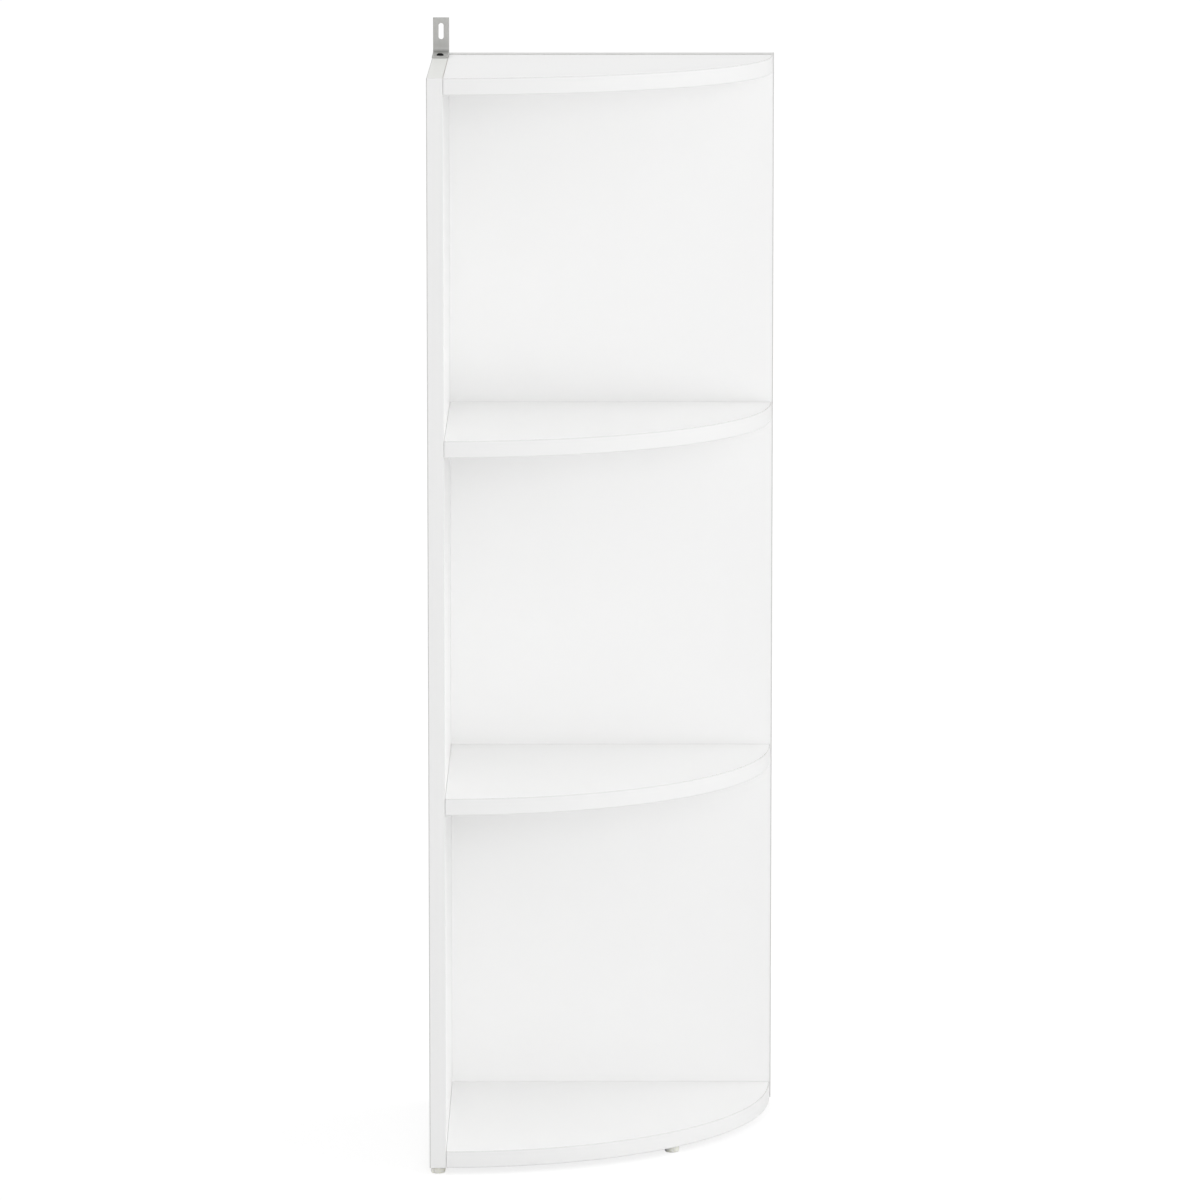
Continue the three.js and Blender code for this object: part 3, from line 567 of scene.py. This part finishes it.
def black_steel(name):
    """Black oxide steel, slightly brown where it is thin."""
    material, tree, shader, vector = new_material(name)
    skin = use_group(tree, GROUPS["fine_texture"], Vector=vector, Scale=1800.0, Dull=0.5, Glossy=0.32)
    skin.inputs["Smudge Scale"].default_value = 300.0
    black = mix_colours(tree, skin.outputs["Smudge"], SCREW_BLACK, SCREW_BLACK_2)
    tree.links.new(black, shader.inputs["Base Color"])
    tree.links.new(skin.outputs["Roughness"], shader.inputs["Roughness"])
    shader.inputs["Specular IOR Level"].default_value = 0.1
    bumped(tree, shader, skin.outputs["Height"], *BLACK_RELIEF)
    return material


def beech(name):
    """Beech turned into a rod along X: long grain with short dark flecks."""
    material, tree, shader, vector = new_material(name)
    grain = noise(tree, stretched(tree, vector, (40.0, 700.0, 700.0)), 1.0, detail=4.0, roughness=0.6)
    flecks = noise(tree, stretched(tree, vector, (300.0, 2400.0, 2400.0)), 1.0, detail=1.0)
    wood = stops(tree, grain, BEECH_BROWNS)
    fleck = math_node(tree, "MULTIPLY", math_node(tree, "GREATER_THAN", flecks, 0.66), 0.5)
    tree.links.new(mix_colours(tree, fleck, wood, BEECH_FLECK), shader.inputs["Base Color"])
    tree.links.new(mix_values(tree, grain, 0.75, 0.55), shader.inputs["Roughness"])
    bumped(tree, shader, grain, *BEECH_RELIEF)
    return material


def cream_plastic(name):
    """Moulded cream plastic, a little milky, with a fine eroded texture."""
    material, tree, shader, vector = new_material(name)
    skin = use_group(tree, GROUPS["fine_texture"], Vector=vector, Scale=2000.0, Dull=0.55, Glossy=0.42)
    skin.inputs["Smudge Scale"].default_value = 90.0
    cream = mix_colours(tree, skin.outputs["Smudge"], CREAM, CREAM_2)
    tree.links.new(cream, shader.inputs["Base Color"])
    tree.links.new(skin.outputs["Roughness"], shader.inputs["Roughness"])
    shader.inputs["Subsurface Weight"].default_value = 0.7
    shader.inputs["Subsurface Radius"].default_value = MILKY_SPREAD
    shader.inputs["Subsurface Scale"].default_value = MILKY_DEPTH
    bumped(tree, shader, skin.outputs["Height"], *CREAM_RELIEF)
    return material


def make_materials():
    """Every finish on the unit, by name."""
    GROUPS["fine_texture"] = group_fine_texture()
    GROUPS["chipboard"] = group_chipboard()
    GROUPS["drawn_lines"] = group_drawn_lines()
    return {
        # three whites of one melamine: painted light and shade
        "board": melamine("board_melamine", "Z", BOARD_WHITE, BOARD_WHITE_2),
        "side": melamine("side_panel_melamine", "X", SIDE_WHITE, SIDE_WHITE_2),
        "back": melamine("back_panel_melamine", "Y", BACK_WHITE, BACK_WHITE_2),
        "curved_band": edge_band("curved_edge_band", LEVEL_LINES, BAND_WHITE, BAND_WHITE_2),
        "upright_band": edge_band("upright_edge_band", UPRIGHT_LINES, BAND_WHITE, BAND_WHITE_2),
        # own whites of the top bands: painted light and shade
        "side_top_band": edge_band("side_top_band", LINES_ALONG_Y, TOP_BAND_WHITE, TOP_BAND_WHITE_2),
        "back_top_band": edge_band("back_top_band", LINES_ALONG_X, BACK_BAND_GREY, BACK_BAND_GREY_2),
        "bracket": plated_steel(
            "bracket_zinc",
            BRACKET_ZINC,
            BRACKET_ZINC_2,
            STRIP_LINES,
            dull=0.5,
            glossy=0.34,
            relief=0.12,
        ),
        "screw": plated_steel(
            "screw_zinc",
            SCREW_ZINC,
            SCREW_ZINC_2,
            EVEN_LINES,
            dull=0.42,
            glossy=0.28,
            relief=0.08,
        ),
        "cam": cast_metal("cam_zinc"),
        "black_screw": black_steel("black_screw_steel"),
        "dowel": beech("dowel_beech"),
        "glide": cream_plastic("glide_plastic"),
    }


# Pieces


def band_profile(thickness, width, wear_and_shade):
    """Section of a band: across from 0 to width, out from 0 to thickness, its outer corners rounded.

    Returns the points, and for each its share of scraping and painted shade: the corner's value on a
    rounding, 0 elsewhere.
    """
    r = BAND_ROUNDING
    first = arc_points((r, thickness - r), r, math.pi, math.pi / 2, BAND_ROUNDING_STEPS)
    second = arc_points((width - r, thickness - r), r, math.pi / 2, 0, BAND_ROUNDING_STEPS)
    flat = [(r + SCRAPE_AND_SHADE_FADE, thickness), (width - r - SCRAPE_AND_SHADE_FADE, thickness)]
    points = np.concatenate(([(0.0, 0.0)], first, flat, second, [(width, 0.0)]))
    rounding = np.ones(len(first))
    return points, np.concatenate(([0.0], wear_and_shade[0] * rounding, [0.0, 0.0], wear_and_shade[1] * rounding, [0.0]))


def curved_band(level, material):
    """The band on a quarter-round front: its section carried round the inner corner.

    A point is the corner + radius (sin a, -cos a), at the section's height, and a runs over a right angle
    less, at each end, the angle that the joint gap takes at that radius.
    """
    node = f"{level}_edge_band"
    low, high = node_box(node)
    corner = np.array((INNER_LEFT, INNER_REAR))
    outer = high[0] - corner[0]
    gap = low[0] - corner[0]
    section, scraped_and_shaded = band_profile(BAND_THICKNESS, high[2] - low[2], CURVED_BAND_WEAR_AND_SHADE)
    radius = outer - BAND_THICKNESS + section[:, 1]
    start = np.arcsin(gap / radius)
    share = np.linspace(0, 1, BAND_ARC_STEPS + 1)[:, None]
    angle = start + share * (math.pi / 2 - 2 * start)
    height = np.broadcast_to(low[2] + section[:, 0], angle.shape)
    x = corner[0] + radius * np.sin(angle)
    y = corner[1] - radius * np.cos(angle)
    rings = np.stack((x, y, height), axis=-1)
    vertices, faces = swept_mesh(rings)
    wear_and_shade = np.tile(scraped_and_shaded, len(rings))
    return add_piece(f"{level}_band", vertices, faces, material, (node,), wear_and_shade)


def straight_band(node, out_axis, out_sign, wear_and_shade, material):
    """A band on a straight edge: its section carried along the longest side of the CAD node's box."""
    low, high = node_box(node)
    size = high - low
    along = int(np.argmax(size))
    across = 3 - out_axis - along
    section, scraped_and_shaded = band_profile(size[out_axis], size[across], wear_and_shade)
    rings = np.zeros((2, len(section), 3))
    rings[..., across] = low[across] + section[:, 0]
    base = low[out_axis] if out_sign > 0 else high[out_axis]
    rings[..., out_axis] = base + out_sign * section[:, 1]
    rings[0, :, along] = low[along]
    rings[1, :, along] = high[along]
    vertices, faces = swept_mesh(rings)
    name = node.replace("_band", "_edging")
    return add_piece(name, vertices, faces, material, (node,), np.tile(scraped_and_shaded, len(rings)))


def glide(name, material):
    """A nailed glide: a low disc with a lip, sides drawn in by GLIDE_TAPER and a rounded lower edge.

    The foot is slightly crowned: h = crown (r / flat radius) squared.
    """
    node = f"glide_{name}"
    low, high = node_box(node)
    centre = (low + high) / 2
    radius = (high[0] - low[0]) / 2
    height = high[2] - low[2]
    foot_radius = radius - GLIDE_TAPER
    r = GLIDE_ROUNDING
    flat = foot_radius - r
    crown = np.linspace(GLIDE_MIDDLE, 1, GLIDE_FOOT_RINGS) * flat
    foot = [(x, GLIDE_CROWN * (x / flat) ** 2) for x in crown]
    edge = arc_points((flat, r + GLIDE_CROWN), r, -math.pi / 2, 0, GLIDE_ROUNDING_STEPS)[1:]
    lip_centre = (radius - GLIDE_LIP, height - GLIDE_LIP)
    lip = arc_points(lip_centre, GLIDE_LIP, 0, math.pi / 2, GLIDE_LIP_STEPS)
    profile = foot + [tuple(point) for point in edge] + [tuple(point) for point in lip]
    radii, heights = round_rings(profile, GLIDE_STEPS)
    vertices, faces = turned_mesh(radii, heights, (0, 0, 1), (centre[0], centre[1], low[2]))
    return add_piece(f"{name}_glide", vertices, faces, material, (node,))


def thread(core, crest, pitch, start, end, lead):
    """Radii and heights of a screw thread.

    r = core + depth * ridge, where the ridge is a triangle of height / pitch - angle / turn, half as wide
    as the pitch, and fades out over lead at both ends.
    """
    turns = (end - start) / pitch
    rows = int(round(turns * THREAD_ROWS_PER_TURN)) + 1
    heights = np.linspace(start, end, rows)
    turn = np.arange(THREAD_STEPS) / THREAD_STEPS
    phase = (heights[:, None] / pitch - turn[None, :]) % 1.0
    ridge = np.clip(1 - 4 * np.abs(phase - 0.5), 0, 1)
    fade = np.clip(np.minimum(heights - start, end - heights) / lead, 0, 1)
    return core + (crest - core) * ridge * fade[:, None], heights


def resample(radii, steps):
    """Rings with fewer or more steps than given, by straight interpolation round the ring."""
    old = radii.shape[1]
    wrapped = np.concatenate((radii, radii[:, :1]), axis=1)
    places = np.arange(steps) * old / steps
    low = np.floor(places).astype(int)
    part = places - low
    return wrapped[:, low] * (1 - part) + wrapped[:, low + 1] * part


# Connecting screws, measured from the head's face
SCREW_HEX = 4 * MM
SCREW_HEX_DEPTH = 3 * MM
SCREW_HEX_CHAMFER = 0.25 * MM
SCREW_DRILL_POINT = 0.6 * MM  # of the socket's bottom
SCREW_HEAD_BEVEL = 0.35 * MM
SCREW_HEAD_DEPTH = 2 * MM
SCREW_CONE_DEPTH = 2.5 * MM
SCREW_SHANK = 3.5 * MM
SCREW_SHOULDER_END = 15.6 * MM
SCREW_NECK_STEP = 0.6 * MM
SCREW_THREAD_START = 16.4 * MM
SCREW_THREAD_LEAD = 3 * MM
SCREW_CORE = 2.5 * MM
SCREW_CREST = 3.45 * MM
SCREW_PITCH = 3 * MM
SCREW_TIP = 4 * MM
SCREW_TIP_RADIUS = 1.2 * MM


def back_screw(node, material):
    """A connecting screw: hexagon socket, countersunk head, smooth shoulder and a coarse thread."""
    low, high = node_box(node)
    x, z = (low[0] + high[0]) / 2, (low[2] + high[2]) / 2
    head = (high[0] - low[0]) / 2
    length = high[1] - low[1]
    angles = np.arange(HEAD_STEPS) * 2 * math.pi / HEAD_STEPS
    socket = hexagon_outline(angles, SCREW_HEX)
    cone_end = SCREW_HEAD_DEPTH + SCREW_CONE_DEPTH
    rings = [
        (socket * 0.02, SCREW_HEX_DEPTH + SCREW_DRILL_POINT),
        (socket * 0.9, SCREW_HEX_DEPTH),
        (socket, SCREW_HEX_DEPTH),
        (socket, SCREW_HEX_CHAMFER),
        (socket + SCREW_HEX_CHAMFER, 0.0),
        (np.full_like(angles, head - SCREW_HEAD_BEVEL), 0.0),
        (np.full_like(angles, head - SCREW_HEAD_BEVEL * 0.3), SCREW_HEAD_BEVEL * 0.3),
        (np.full_like(angles, head), SCREW_HEAD_BEVEL),
        (np.full_like(angles, head), SCREW_HEAD_DEPTH),
        (np.full_like(angles, SCREW_SHANK), cone_end),
        (np.full_like(angles, SCREW_SHANK), SCREW_SHOULDER_END),
        (np.full_like(angles, SCREW_CORE), SCREW_SHOULDER_END + SCREW_NECK_STEP),
    ]
    radii = np.array([ring for ring, _ in rings])
    heights = np.array([height for _, height in rings])
    thread_end = length - SCREW_TIP
    worm, worm_heights = thread(
        SCREW_CORE, SCREW_CREST, SCREW_PITCH, SCREW_THREAD_START, thread_end, SCREW_THREAD_LEAD
    )
    tip = np.full((1, HEAD_STEPS), SCREW_TIP_RADIUS)
    radii = np.concatenate((radii, resample(worm, HEAD_STEPS), tip))
    heights = np.concatenate((heights, worm_heights, [length]))
    vertices, faces = turned_mesh(radii, heights, (0, -1, 0), (x, high[1], z))
    return add_piece(f"{node}_cut", vertices, faces, material, (node,))


# The bracket's screw, measured from the head's underside
PAN_CROSS_LENGTH = 2.1 * MM
PAN_CROSS_WIDTH = 0.5 * MM
PAN_CROSS_DEPTH = 1.4 * MM
PAN_CROSS_CHAMFER = 0.1 * MM
PAN_CROSS_POINT = 0.2 * MM
PAN_HEIGHT = 2.2 * MM
PAN_EDGE = 0.15 * MM
PAN_SIDE = 0.55 * MM
PAN_DOME_STEPS = 7  # the last of them is left to the recess
PAN_SHANK = 1.75 * MM
PAN_SHANK_LENGTH = 3 * MM
PAN_CORE = 1.15 * MM
PAN_PITCH = 1.6 * MM
PAN_THREAD_START = 3.5 * MM
PAN_THREAD_LEAD = 3 * MM
PAN_POINT_LENGTH = 1.2 * MM
PAN_POINT_RADIUS = 0.15 * MM


def bracket_screw(material):
    """The pan-head screw: cross recess, domed head, thread and a gimlet point.

    The dome runs from the head's rim: r = head cos(a) ** 0.8 and h = side + rise sin a.
    """
    low, high = node_box("bracket_screw")
    x, y = (low[0] + high[0]) / 2, (low[1] + high[1]) / 2
    head = (high[0] - low[0]) / 2
    under = high[2] - PAN_HEIGHT
    length = under - low[2]
    angles = np.arange(HEAD_STEPS) * 2 * math.pi / HEAD_STEPS
    worm, worm_heights = thread(
        PAN_CORE, PAN_SHANK, PAN_PITCH, PAN_POINT_LENGTH - length, -PAN_THREAD_START, PAN_THREAD_LEAD
    )
    rise = PAN_HEIGHT - PAN_SIDE
    turns = np.arange(PAN_DOME_STEPS - 1) * math.pi / 2 / PAN_DOME_STEPS
    top = PAN_SIDE + rise * math.sin(turns[-1])
    rings = [
        (PAN_SHANK, -PAN_SHANK_LENGTH),
        (PAN_SHANK, 0.0),
        (head - PAN_EDGE, 0.0),
        (head, PAN_EDGE),
        *((head * math.cos(turn) ** 0.8, PAN_SIDE + rise * math.sin(turn)) for turn in turns),
    ]
    recess = cross_outline(angles + math.pi / 4, PAN_CROSS_LENGTH, PAN_CROSS_WIDTH)
    cross = [
        (recess * 1.08, max(PAN_HEIGHT - PAN_CROSS_CHAMFER / 5, top)),
        (recess, PAN_HEIGHT - PAN_CROSS_CHAMFER),
        (recess * 0.75, PAN_HEIGHT - PAN_CROSS_DEPTH),
        (recess * 0.05, PAN_HEIGHT - PAN_CROSS_DEPTH - PAN_CROSS_POINT),
    ]
    point = np.full((1, HEAD_STEPS), PAN_POINT_RADIUS)
    body = np.array([np.full(HEAD_STEPS, ring) for ring, _ in rings])
    hollow = np.array([ring for ring, _ in cross])
    radii = np.concatenate((point, resample(worm, HEAD_STEPS), body, hollow))
    heights = np.concatenate(([-length], worm_heights, [h for _, h in rings], [h for _, h in cross]))
    vertices, faces = turned_mesh(radii, heights, (0, 0, 1), (x, y, under))
    return add_piece("bracket_pan_screw", vertices, faces, material, ("bracket_screw",))


DOWEL_FLUTE_DEPTH = 0.3 * MM
DOWEL_END_STEP = 1 * MM  # by which the flat end is smaller than the rod
DOWEL_CHAMFER = 1.1 * MM
DOWEL_EDGE = 0.1 * MM
DOWEL_EDGE_STEP = 0.75 * MM
DOWEL_MIDDLE = 0.3 * MM  # radius of the innermost ring on an end


def dowel(node, material):
    """A fluted dowel along X, drawn in at its chamfered ends.

    r = radius - depth ((1 + cos(flutes t)) / 2) squared, and no more than the ring's own limit.
    """
    low, high = node_box(node)
    radius = (high[1] - low[1]) / 2
    steps = DOWEL_FLUTES * DOWEL_STEPS_PER_FLUTE
    angles = np.arange(steps) * 2 * math.pi / steps
    flutes = radius - DOWEL_FLUTE_DEPTH * (0.5 + 0.5 * np.cos(DOWEL_FLUTES * angles)) ** 2
    length = high[0] - low[0]
    end = (
        (DOWEL_MIDDLE, 0.0),
        (radius - DOWEL_END_STEP, 0.0),
        (radius - DOWEL_EDGE_STEP, DOWEL_EDGE),
        (radius, DOWEL_CHAMFER),
    )
    rows = end + tuple((limit, length - height) for limit, height in reversed(end))
    radii = np.array([np.minimum(flutes, limit) for limit, _ in rows])
    heights = np.array([height for _, height in rows])
    centre = (low[0], (low[1] + high[1]) / 2, (low[2] + high[2]) / 2)
    vertices, faces = turned_mesh(radii, heights, (1, 0, 0), centre)
    return add_piece(f"{node}_fluted", vertices, faces, material, (node,))


BRACKET_THICKNESS = 2 * MM
BRACKET_BEND = 4.5 * MM
BRACKET_EDGE = 0.25 * MM
BRACKET_EDGE_STEPS = 2
BRACKET_EDGE_ANGLE = math.radians(50)  # sharper edges than this are broken
SLOT_WIDTH = 5 * MM
SLOT_LENGTH = 16 * MM
SLOT_END_DISTANCE = 5.5 * MM
BRACKET_HOLE = 2.05 * MM
STRIP_ACROSS_STEPS = 20
STRIP_ALONG_STEPS = 28
STRIP_RINGS = 6
FOOT_STEPS = 10
BEND_STEPS = 12
SAME_PLACE = 1e-3 * MM  # within which points of neighbouring patches are one


def holed_patch(start, end, half_width, middle, outline):
    """Rings from a hole's outline out to the edges of a rectangle in the flat strip.

    A ring is hole * (1 - k) + rectangle * k, with k from 0 to 1. The rectangle's points are evenly spaced
    on each side, and the hole's point is met by the ray from the hole's middle through them.
    """
    s = np.linspace(start, end, STRIP_ALONG_STEPS + 1)
    t = np.linspace(-half_width, half_width, STRIP_ACROSS_STEPS + 1)
    border = np.concatenate(
        (
            np.stack((s[:-1], np.full(STRIP_ALONG_STEPS, -half_width)), axis=1),
            np.stack((np.full(STRIP_ACROSS_STEPS, end), t[:-1]), axis=1),
            np.stack((s[:0:-1], np.full(STRIP_ALONG_STEPS, half_width)), axis=1),
            np.stack((np.full(STRIP_ACROSS_STEPS, start), t[:0:-1]), axis=1),
        )
    )
    ray = border - np.array((middle, 0.0))
    angles = np.arctan2(ray[:, 1], ray[:, 0])
    spokes = np.stack((np.cos(angles), np.sin(angles)), axis=1)
    hole = np.array((middle, 0.0)) + outline(angles)[:, None] * spokes
    k = np.linspace(0, 1, STRIP_RINGS)[:, None, None]
    points = hole * (1 - k) + border * k
    return points.reshape(-1, 2), grid_faces(STRIP_RINGS, len(border), wrap_columns=True)


def plain_patch(start, end, half_width, along_steps):
    """An even grid over a stretch of the flat strip."""
    along = np.linspace(start, end, along_steps + 1)
    across = np.linspace(-half_width, half_width, STRIP_ACROSS_STEPS + 1)
    s, t = np.meshgrid(along, across, indexing="ij")
    return np.stack((s.ravel(), t.ravel()), axis=1), grid_faces(along_steps + 1, STRIP_ACROSS_STEPS + 1)


def wall_bracket(material):
    """The angle bracket: a flat strip with its slot and hole, bent round an arc, then thickened.

    A point s along the strip and t across it goes to y = foot end + s on the foot, round an arc of the
    strip's middle radius in the bend, and straight up on the leg.
    """
    low, high = node_box("wall_bracket")
    x = (low[0] + high[0]) / 2
    half_width = (high[0] - low[0]) / 2
    screw_low, screw_high = node_box("bracket_screw")
    screw_y = (screw_low[1] + screw_high[1]) / 2
    radius = BRACKET_BEND + BRACKET_THICKNESS / 2
    outer = BRACKET_BEND + BRACKET_THICKNESS
    foot = high[1] - low[1] - outer
    arc = radius * math.pi / 2
    leg = high[2] - low[2] - outer
    hole_place = screw_y - low[1]
    hole_patch_end = 2 * hole_place
    slot_place = foot + arc + leg - SLOT_END_DISTANCE - SLOT_LENGTH / 2
    half_straight = (SLOT_LENGTH - SLOT_WIDTH) / 2

    def screw_hole(angles):
        """The round hole under the bracket's screw."""
        return np.full_like(angles, BRACKET_HOLE)

    def wall_slot(angles):
        """The upright slot for the wall's screw."""
        return slot_outline(angles, half_straight, SLOT_WIDTH / 2)

    patches = [
        holed_patch(0.0, hole_patch_end, half_width, hole_place, screw_hole),
        plain_patch(hole_patch_end, foot, half_width, FOOT_STEPS),
        plain_patch(foot, foot + arc, half_width, BEND_STEPS),
        holed_patch(foot + arc, foot + arc + leg, half_width, slot_place, wall_slot),
    ]
    flat, faces, count = [], [], 0
    for points, quads in patches:
        flat.append(points)
        faces.append(quads + count)
        count += len(points)
    flat = np.concatenate(flat)
    faces = np.concatenate(faces)
    rounded = np.round(flat / SAME_PLACE).astype(np.int64)
    _, keep, same = np.unique(rounded, axis=0, return_index=True, return_inverse=True)
    flat = flat[keep]
    faces = same.ravel()[faces]

    s, t = flat[:, 0], flat[:, 1]
    turn = np.clip((s - foot) / radius, 0, math.pi / 2)
    rise = np.maximum(s - foot - arc, 0)
    y = low[1] + np.minimum(s, foot) + radius * np.sin(turn)
    z = low[2] + BRACKET_THICKNESS / 2 + radius * (1 - np.cos(turn)) + rise
    vertices = np.stack((x + t, y, z), axis=1)

    mesh = bpy.data.meshes.new("bracket_strip")
    mesh.from_pydata(vertices.tolist(), [], faces.tolist())
    mesh.validate()
    piece = bpy.data.objects.new("bracket_strip", mesh)
    bpy.context.scene.collection.objects.link(piece)
    mesh.materials.append(material)
    solid = piece.modifiers.new("thickness", "SOLIDIFY")
    solid.thickness = BRACKET_THICKNESS
    solid.offset = 0.0
    solid.use_even_offset = True
    edge = piece.modifiers.new("edge", "BEVEL")
    edge.width = BRACKET_EDGE
    edge.segments = BRACKET_EDGE_STEPS
    edge.limit_method = "ANGLE"
    edge.angle_limit = BRACKET_EDGE_ANGLE
    smooth(piece)
    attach(piece, BODY)
    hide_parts("wall_bracket")
    return piece


def dress(material_by_node):
    """Gives the CAD nodes that stay their materials."""
    for name, material in material_by_node.items():
        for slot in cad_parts[name].material_slots:
            slot.link = "OBJECT"
            slot.material = material


def build_unit(finishes):
    """Every piece of the unit."""
    dress({level: finishes["board"] for level in LEVELS})
    dress({"side_panel": finishes["side"], "back_panel": finishes["back"]})
    for level in LEVELS:
        curved_band(level, finishes["curved_band"])
        for end in ("rear", "front"):
            dress({f"{level}_cam_{end}": finishes["cam"], f"{level}_cam_bolt_{end}": finishes["screw"]})
            dowel(f"{level}_dowel_{end}", finishes["dowel"])
        for end in ("left", "right"):
            back_screw(f"{level}_back_screw_{end}", finishes["screw"])
    for place in ("lower", "middle", "upper"):
        dowel(f"corner_dowel_{place}", finishes["dowel"])
    for node, (out_axis, out_sign, wear_and_shade, finish) in STRAIGHT_BANDS.items():
        straight_band(node, out_axis, out_sign, wear_and_shade, finishes[finish])
    for name in ("front", "corner", "right", "middle"):
        glide(name, finishes["glide"])
        dress({f"glide_nail_{name}": finishes["screw"]})
    wall_bracket(finishes["bracket"])
    bracket_screw(finishes["black_screw"])


# The picture

FLOOR_HALF = 30.0
FLOOR_PALE = (0.80, 0.80, 0.80, 1)
FLOOR_PALE_2 = (0.82, 0.82, 0.82, 1)
FLOOR_MOTTLE = 1.5  # cells to a metre
FLOOR_SHADOW = (0.24, 0.24, 0.24, 1)  # what the camera sees of the light on the floor
FLOOR_GLOW = 0.81  # and what it sees besides, up to white
SURROUND_ABOVE = 0.615  # strength of the surround as a light from straight above
SURROUND_RIGHT = 1.50  # and from the right
SURROUND_LEFT = 0.94  # and from the left
GLOSS_ABOVE = 0.55  # strength of the surround that a gloss sees straight above; it is 1 at the horizon
LIGHT_AIM = (0.0, 0.0, 0.55)
STUDIO_LIGHTS = {
    # name: (place, side of the square panel, power)
    "right_light": ((4.0, -3.3, 1.4), 2.4, 7.0),
    "front_light": ((0.9, -5.4, 0.9), 2.2, 59.5),
}


def add_floor():
    """A wide pale floor.

    A camera ray sees white with the unit's soft shadow on it, and looks through the floor from below.
    """
    mesh = bpy.data.meshes.new("floor")
    h = FLOOR_HALF
    mesh.from_pydata([(-h, -h, 0), (h, -h, 0), (h, h, 0), (-h, h, 0)], [], [(0, 1, 2, 3)])
    floor = bpy.data.objects.new("floor", mesh)
    bpy.context.scene.collection.objects.link(floor)

    material = bpy.data.materials.new("pale_floor")
    material.use_nodes = True
    tree = material.node_tree
    tree.nodes.remove(tree.nodes["Principled BSDF"])
    output = tree.nodes["Material Output"]
    rays = tree.nodes.new("ShaderNodeLightPath")
    back = tree.nodes.new("ShaderNodeNewGeometry").outputs["Backfacing"]
    vector = tree.nodes.new("ShaderNodeTexCoord").outputs["Object"]
    mottle = noise(tree, vector, FLOOR_MOTTLE, detail=3.0)
    lit = mix_colours(tree, mottle, FLOOR_PALE, FLOOR_PALE_2)
    seen = mix_colours(tree, rays.outputs["Is Camera Ray"], lit, FLOOR_SHADOW)
    diffuse = add_node(tree, "ShaderNodeBsdfDiffuse", Color=seen)
    glow = add_node(tree, "ShaderNodeEmission", Color=(1, 1, 1, 1))
    strength = math_node(tree, "MULTIPLY", rays.outputs["Is Camera Ray"], FLOOR_GLOW)
    tree.links.new(strength, glow.inputs["Strength"])
    both = tree.nodes.new("ShaderNodeAddShader")
    tree.links.new(diffuse.outputs[0], both.inputs[0])
    tree.links.new(glow.outputs[0], both.inputs[1])
    clear = tree.nodes.new("ShaderNodeBsdfTransparent")
    choice = tree.nodes.new("ShaderNodeMixShader")
    through = math_node(tree, "MULTIPLY", back, rays.outputs["Is Camera Ray"])
    tree.links.new(through, choice.inputs[0])
    tree.links.new(both.outputs[0], choice.inputs[1])
    tree.links.new(clear.outputs[0], choice.inputs[2])
    tree.links.new(choice.outputs[0], output.inputs["Surface"])
    mesh.materials.append(material)


def add_world():
    """A white surround, brighter to the right as a light, and full white where the camera sees it.

    As a light it has the strength above max(z, 0) + right max(x, 0) + left max(-x, 0), with x and z of
    the ray's direction. A gloss sees white at the horizon, darker towards the zenith.
    """
    world = bpy.data.worlds.new("studio")
    world.use_nodes = True
    tree = world.node_tree
    background = tree.nodes["Background"]
    background.inputs["Color"].default_value = (1, 1, 1, 1)
    direction = tree.nodes.new("ShaderNodeTexCoord").outputs["Generated"]
    parts = add_node(tree, "ShaderNodeSeparateXYZ", Vector=direction).outputs
    soft = 0.0
    for part, strength in (("Z", SURROUND_ABOVE), ("X", SURROUND_RIGHT), ("X", -SURROUND_LEFT)):
        lobe = math_node(tree, "MAXIMUM", math_node(tree, "MULTIPLY", parts[part], strength), 0.0)
        soft = math_node(tree, "ADD", lobe, soft)
    rays = tree.nodes.new("ShaderNodeLightPath")
    rise = math_node(tree, "MAXIMUM", parts["Z"], 0.0)
    gloss = mix_values(tree, rise, 1.0, GLOSS_ABOVE)
    strength = mix_values(tree, rays.outputs["Is Glossy Ray"], soft, gloss)
    strength = mix_values(tree, rays.outputs["Is Camera Ray"], strength, 1.0)
    tree.links.new(strength, background.inputs["Strength"])
    bpy.context.scene.world = world


def add_panel_light(name, place, aim, size, power):
    """A square light panel turned towards a point. Glosses show the surround and not the panel."""
    light = bpy.data.lights.new(name, "AREA")
    light.shape = "SQUARE"
    light.size = size
    light.energy = power
    lamp = bpy.data.objects.new(name, light)
    bpy.context.scene.collection.objects.link(lamp)
    lamp.visible_glossy = False
    offset = np.array(aim) - np.array(place)
    flat = math.hypot(offset[0], offset[1])
    lamp.location = place
    lamp.rotation_euler = (math.atan2(flat, -offset[2]), 0.0, math.atan2(-offset[0], offset[1]))
    return lamp


def add_camera():
    """The photograph's viewing angle."""
    data = bpy.data.cameras.new("camera")
    data.lens = CAMERA_LENS
    data.sensor_width = CAMERA_SENSOR
    data.clip_end = CAMERA_REACH
    camera = bpy.data.objects.new("camera", data)
    bpy.context.scene.collection.objects.link(camera)
    camera.location = CAMERA_PLACE
    camera.rotation_euler = (math.pi / 2 - CAMERA_PITCH, 0.0, CAMERA_YAW)
    bpy.context.scene.camera = camera


def set_picture():
    """Floor, surround, lights, camera and plain colours."""
    add_floor()
    add_world()
    for name, (place, size, power) in STUDIO_LIGHTS.items():
        add_panel_light(name, place, LIGHT_AIM, size, power)
    add_camera()
    bpy.context.scene.view_settings.view_transform = "Standard"


build_unit(make_materials())
set_picture()
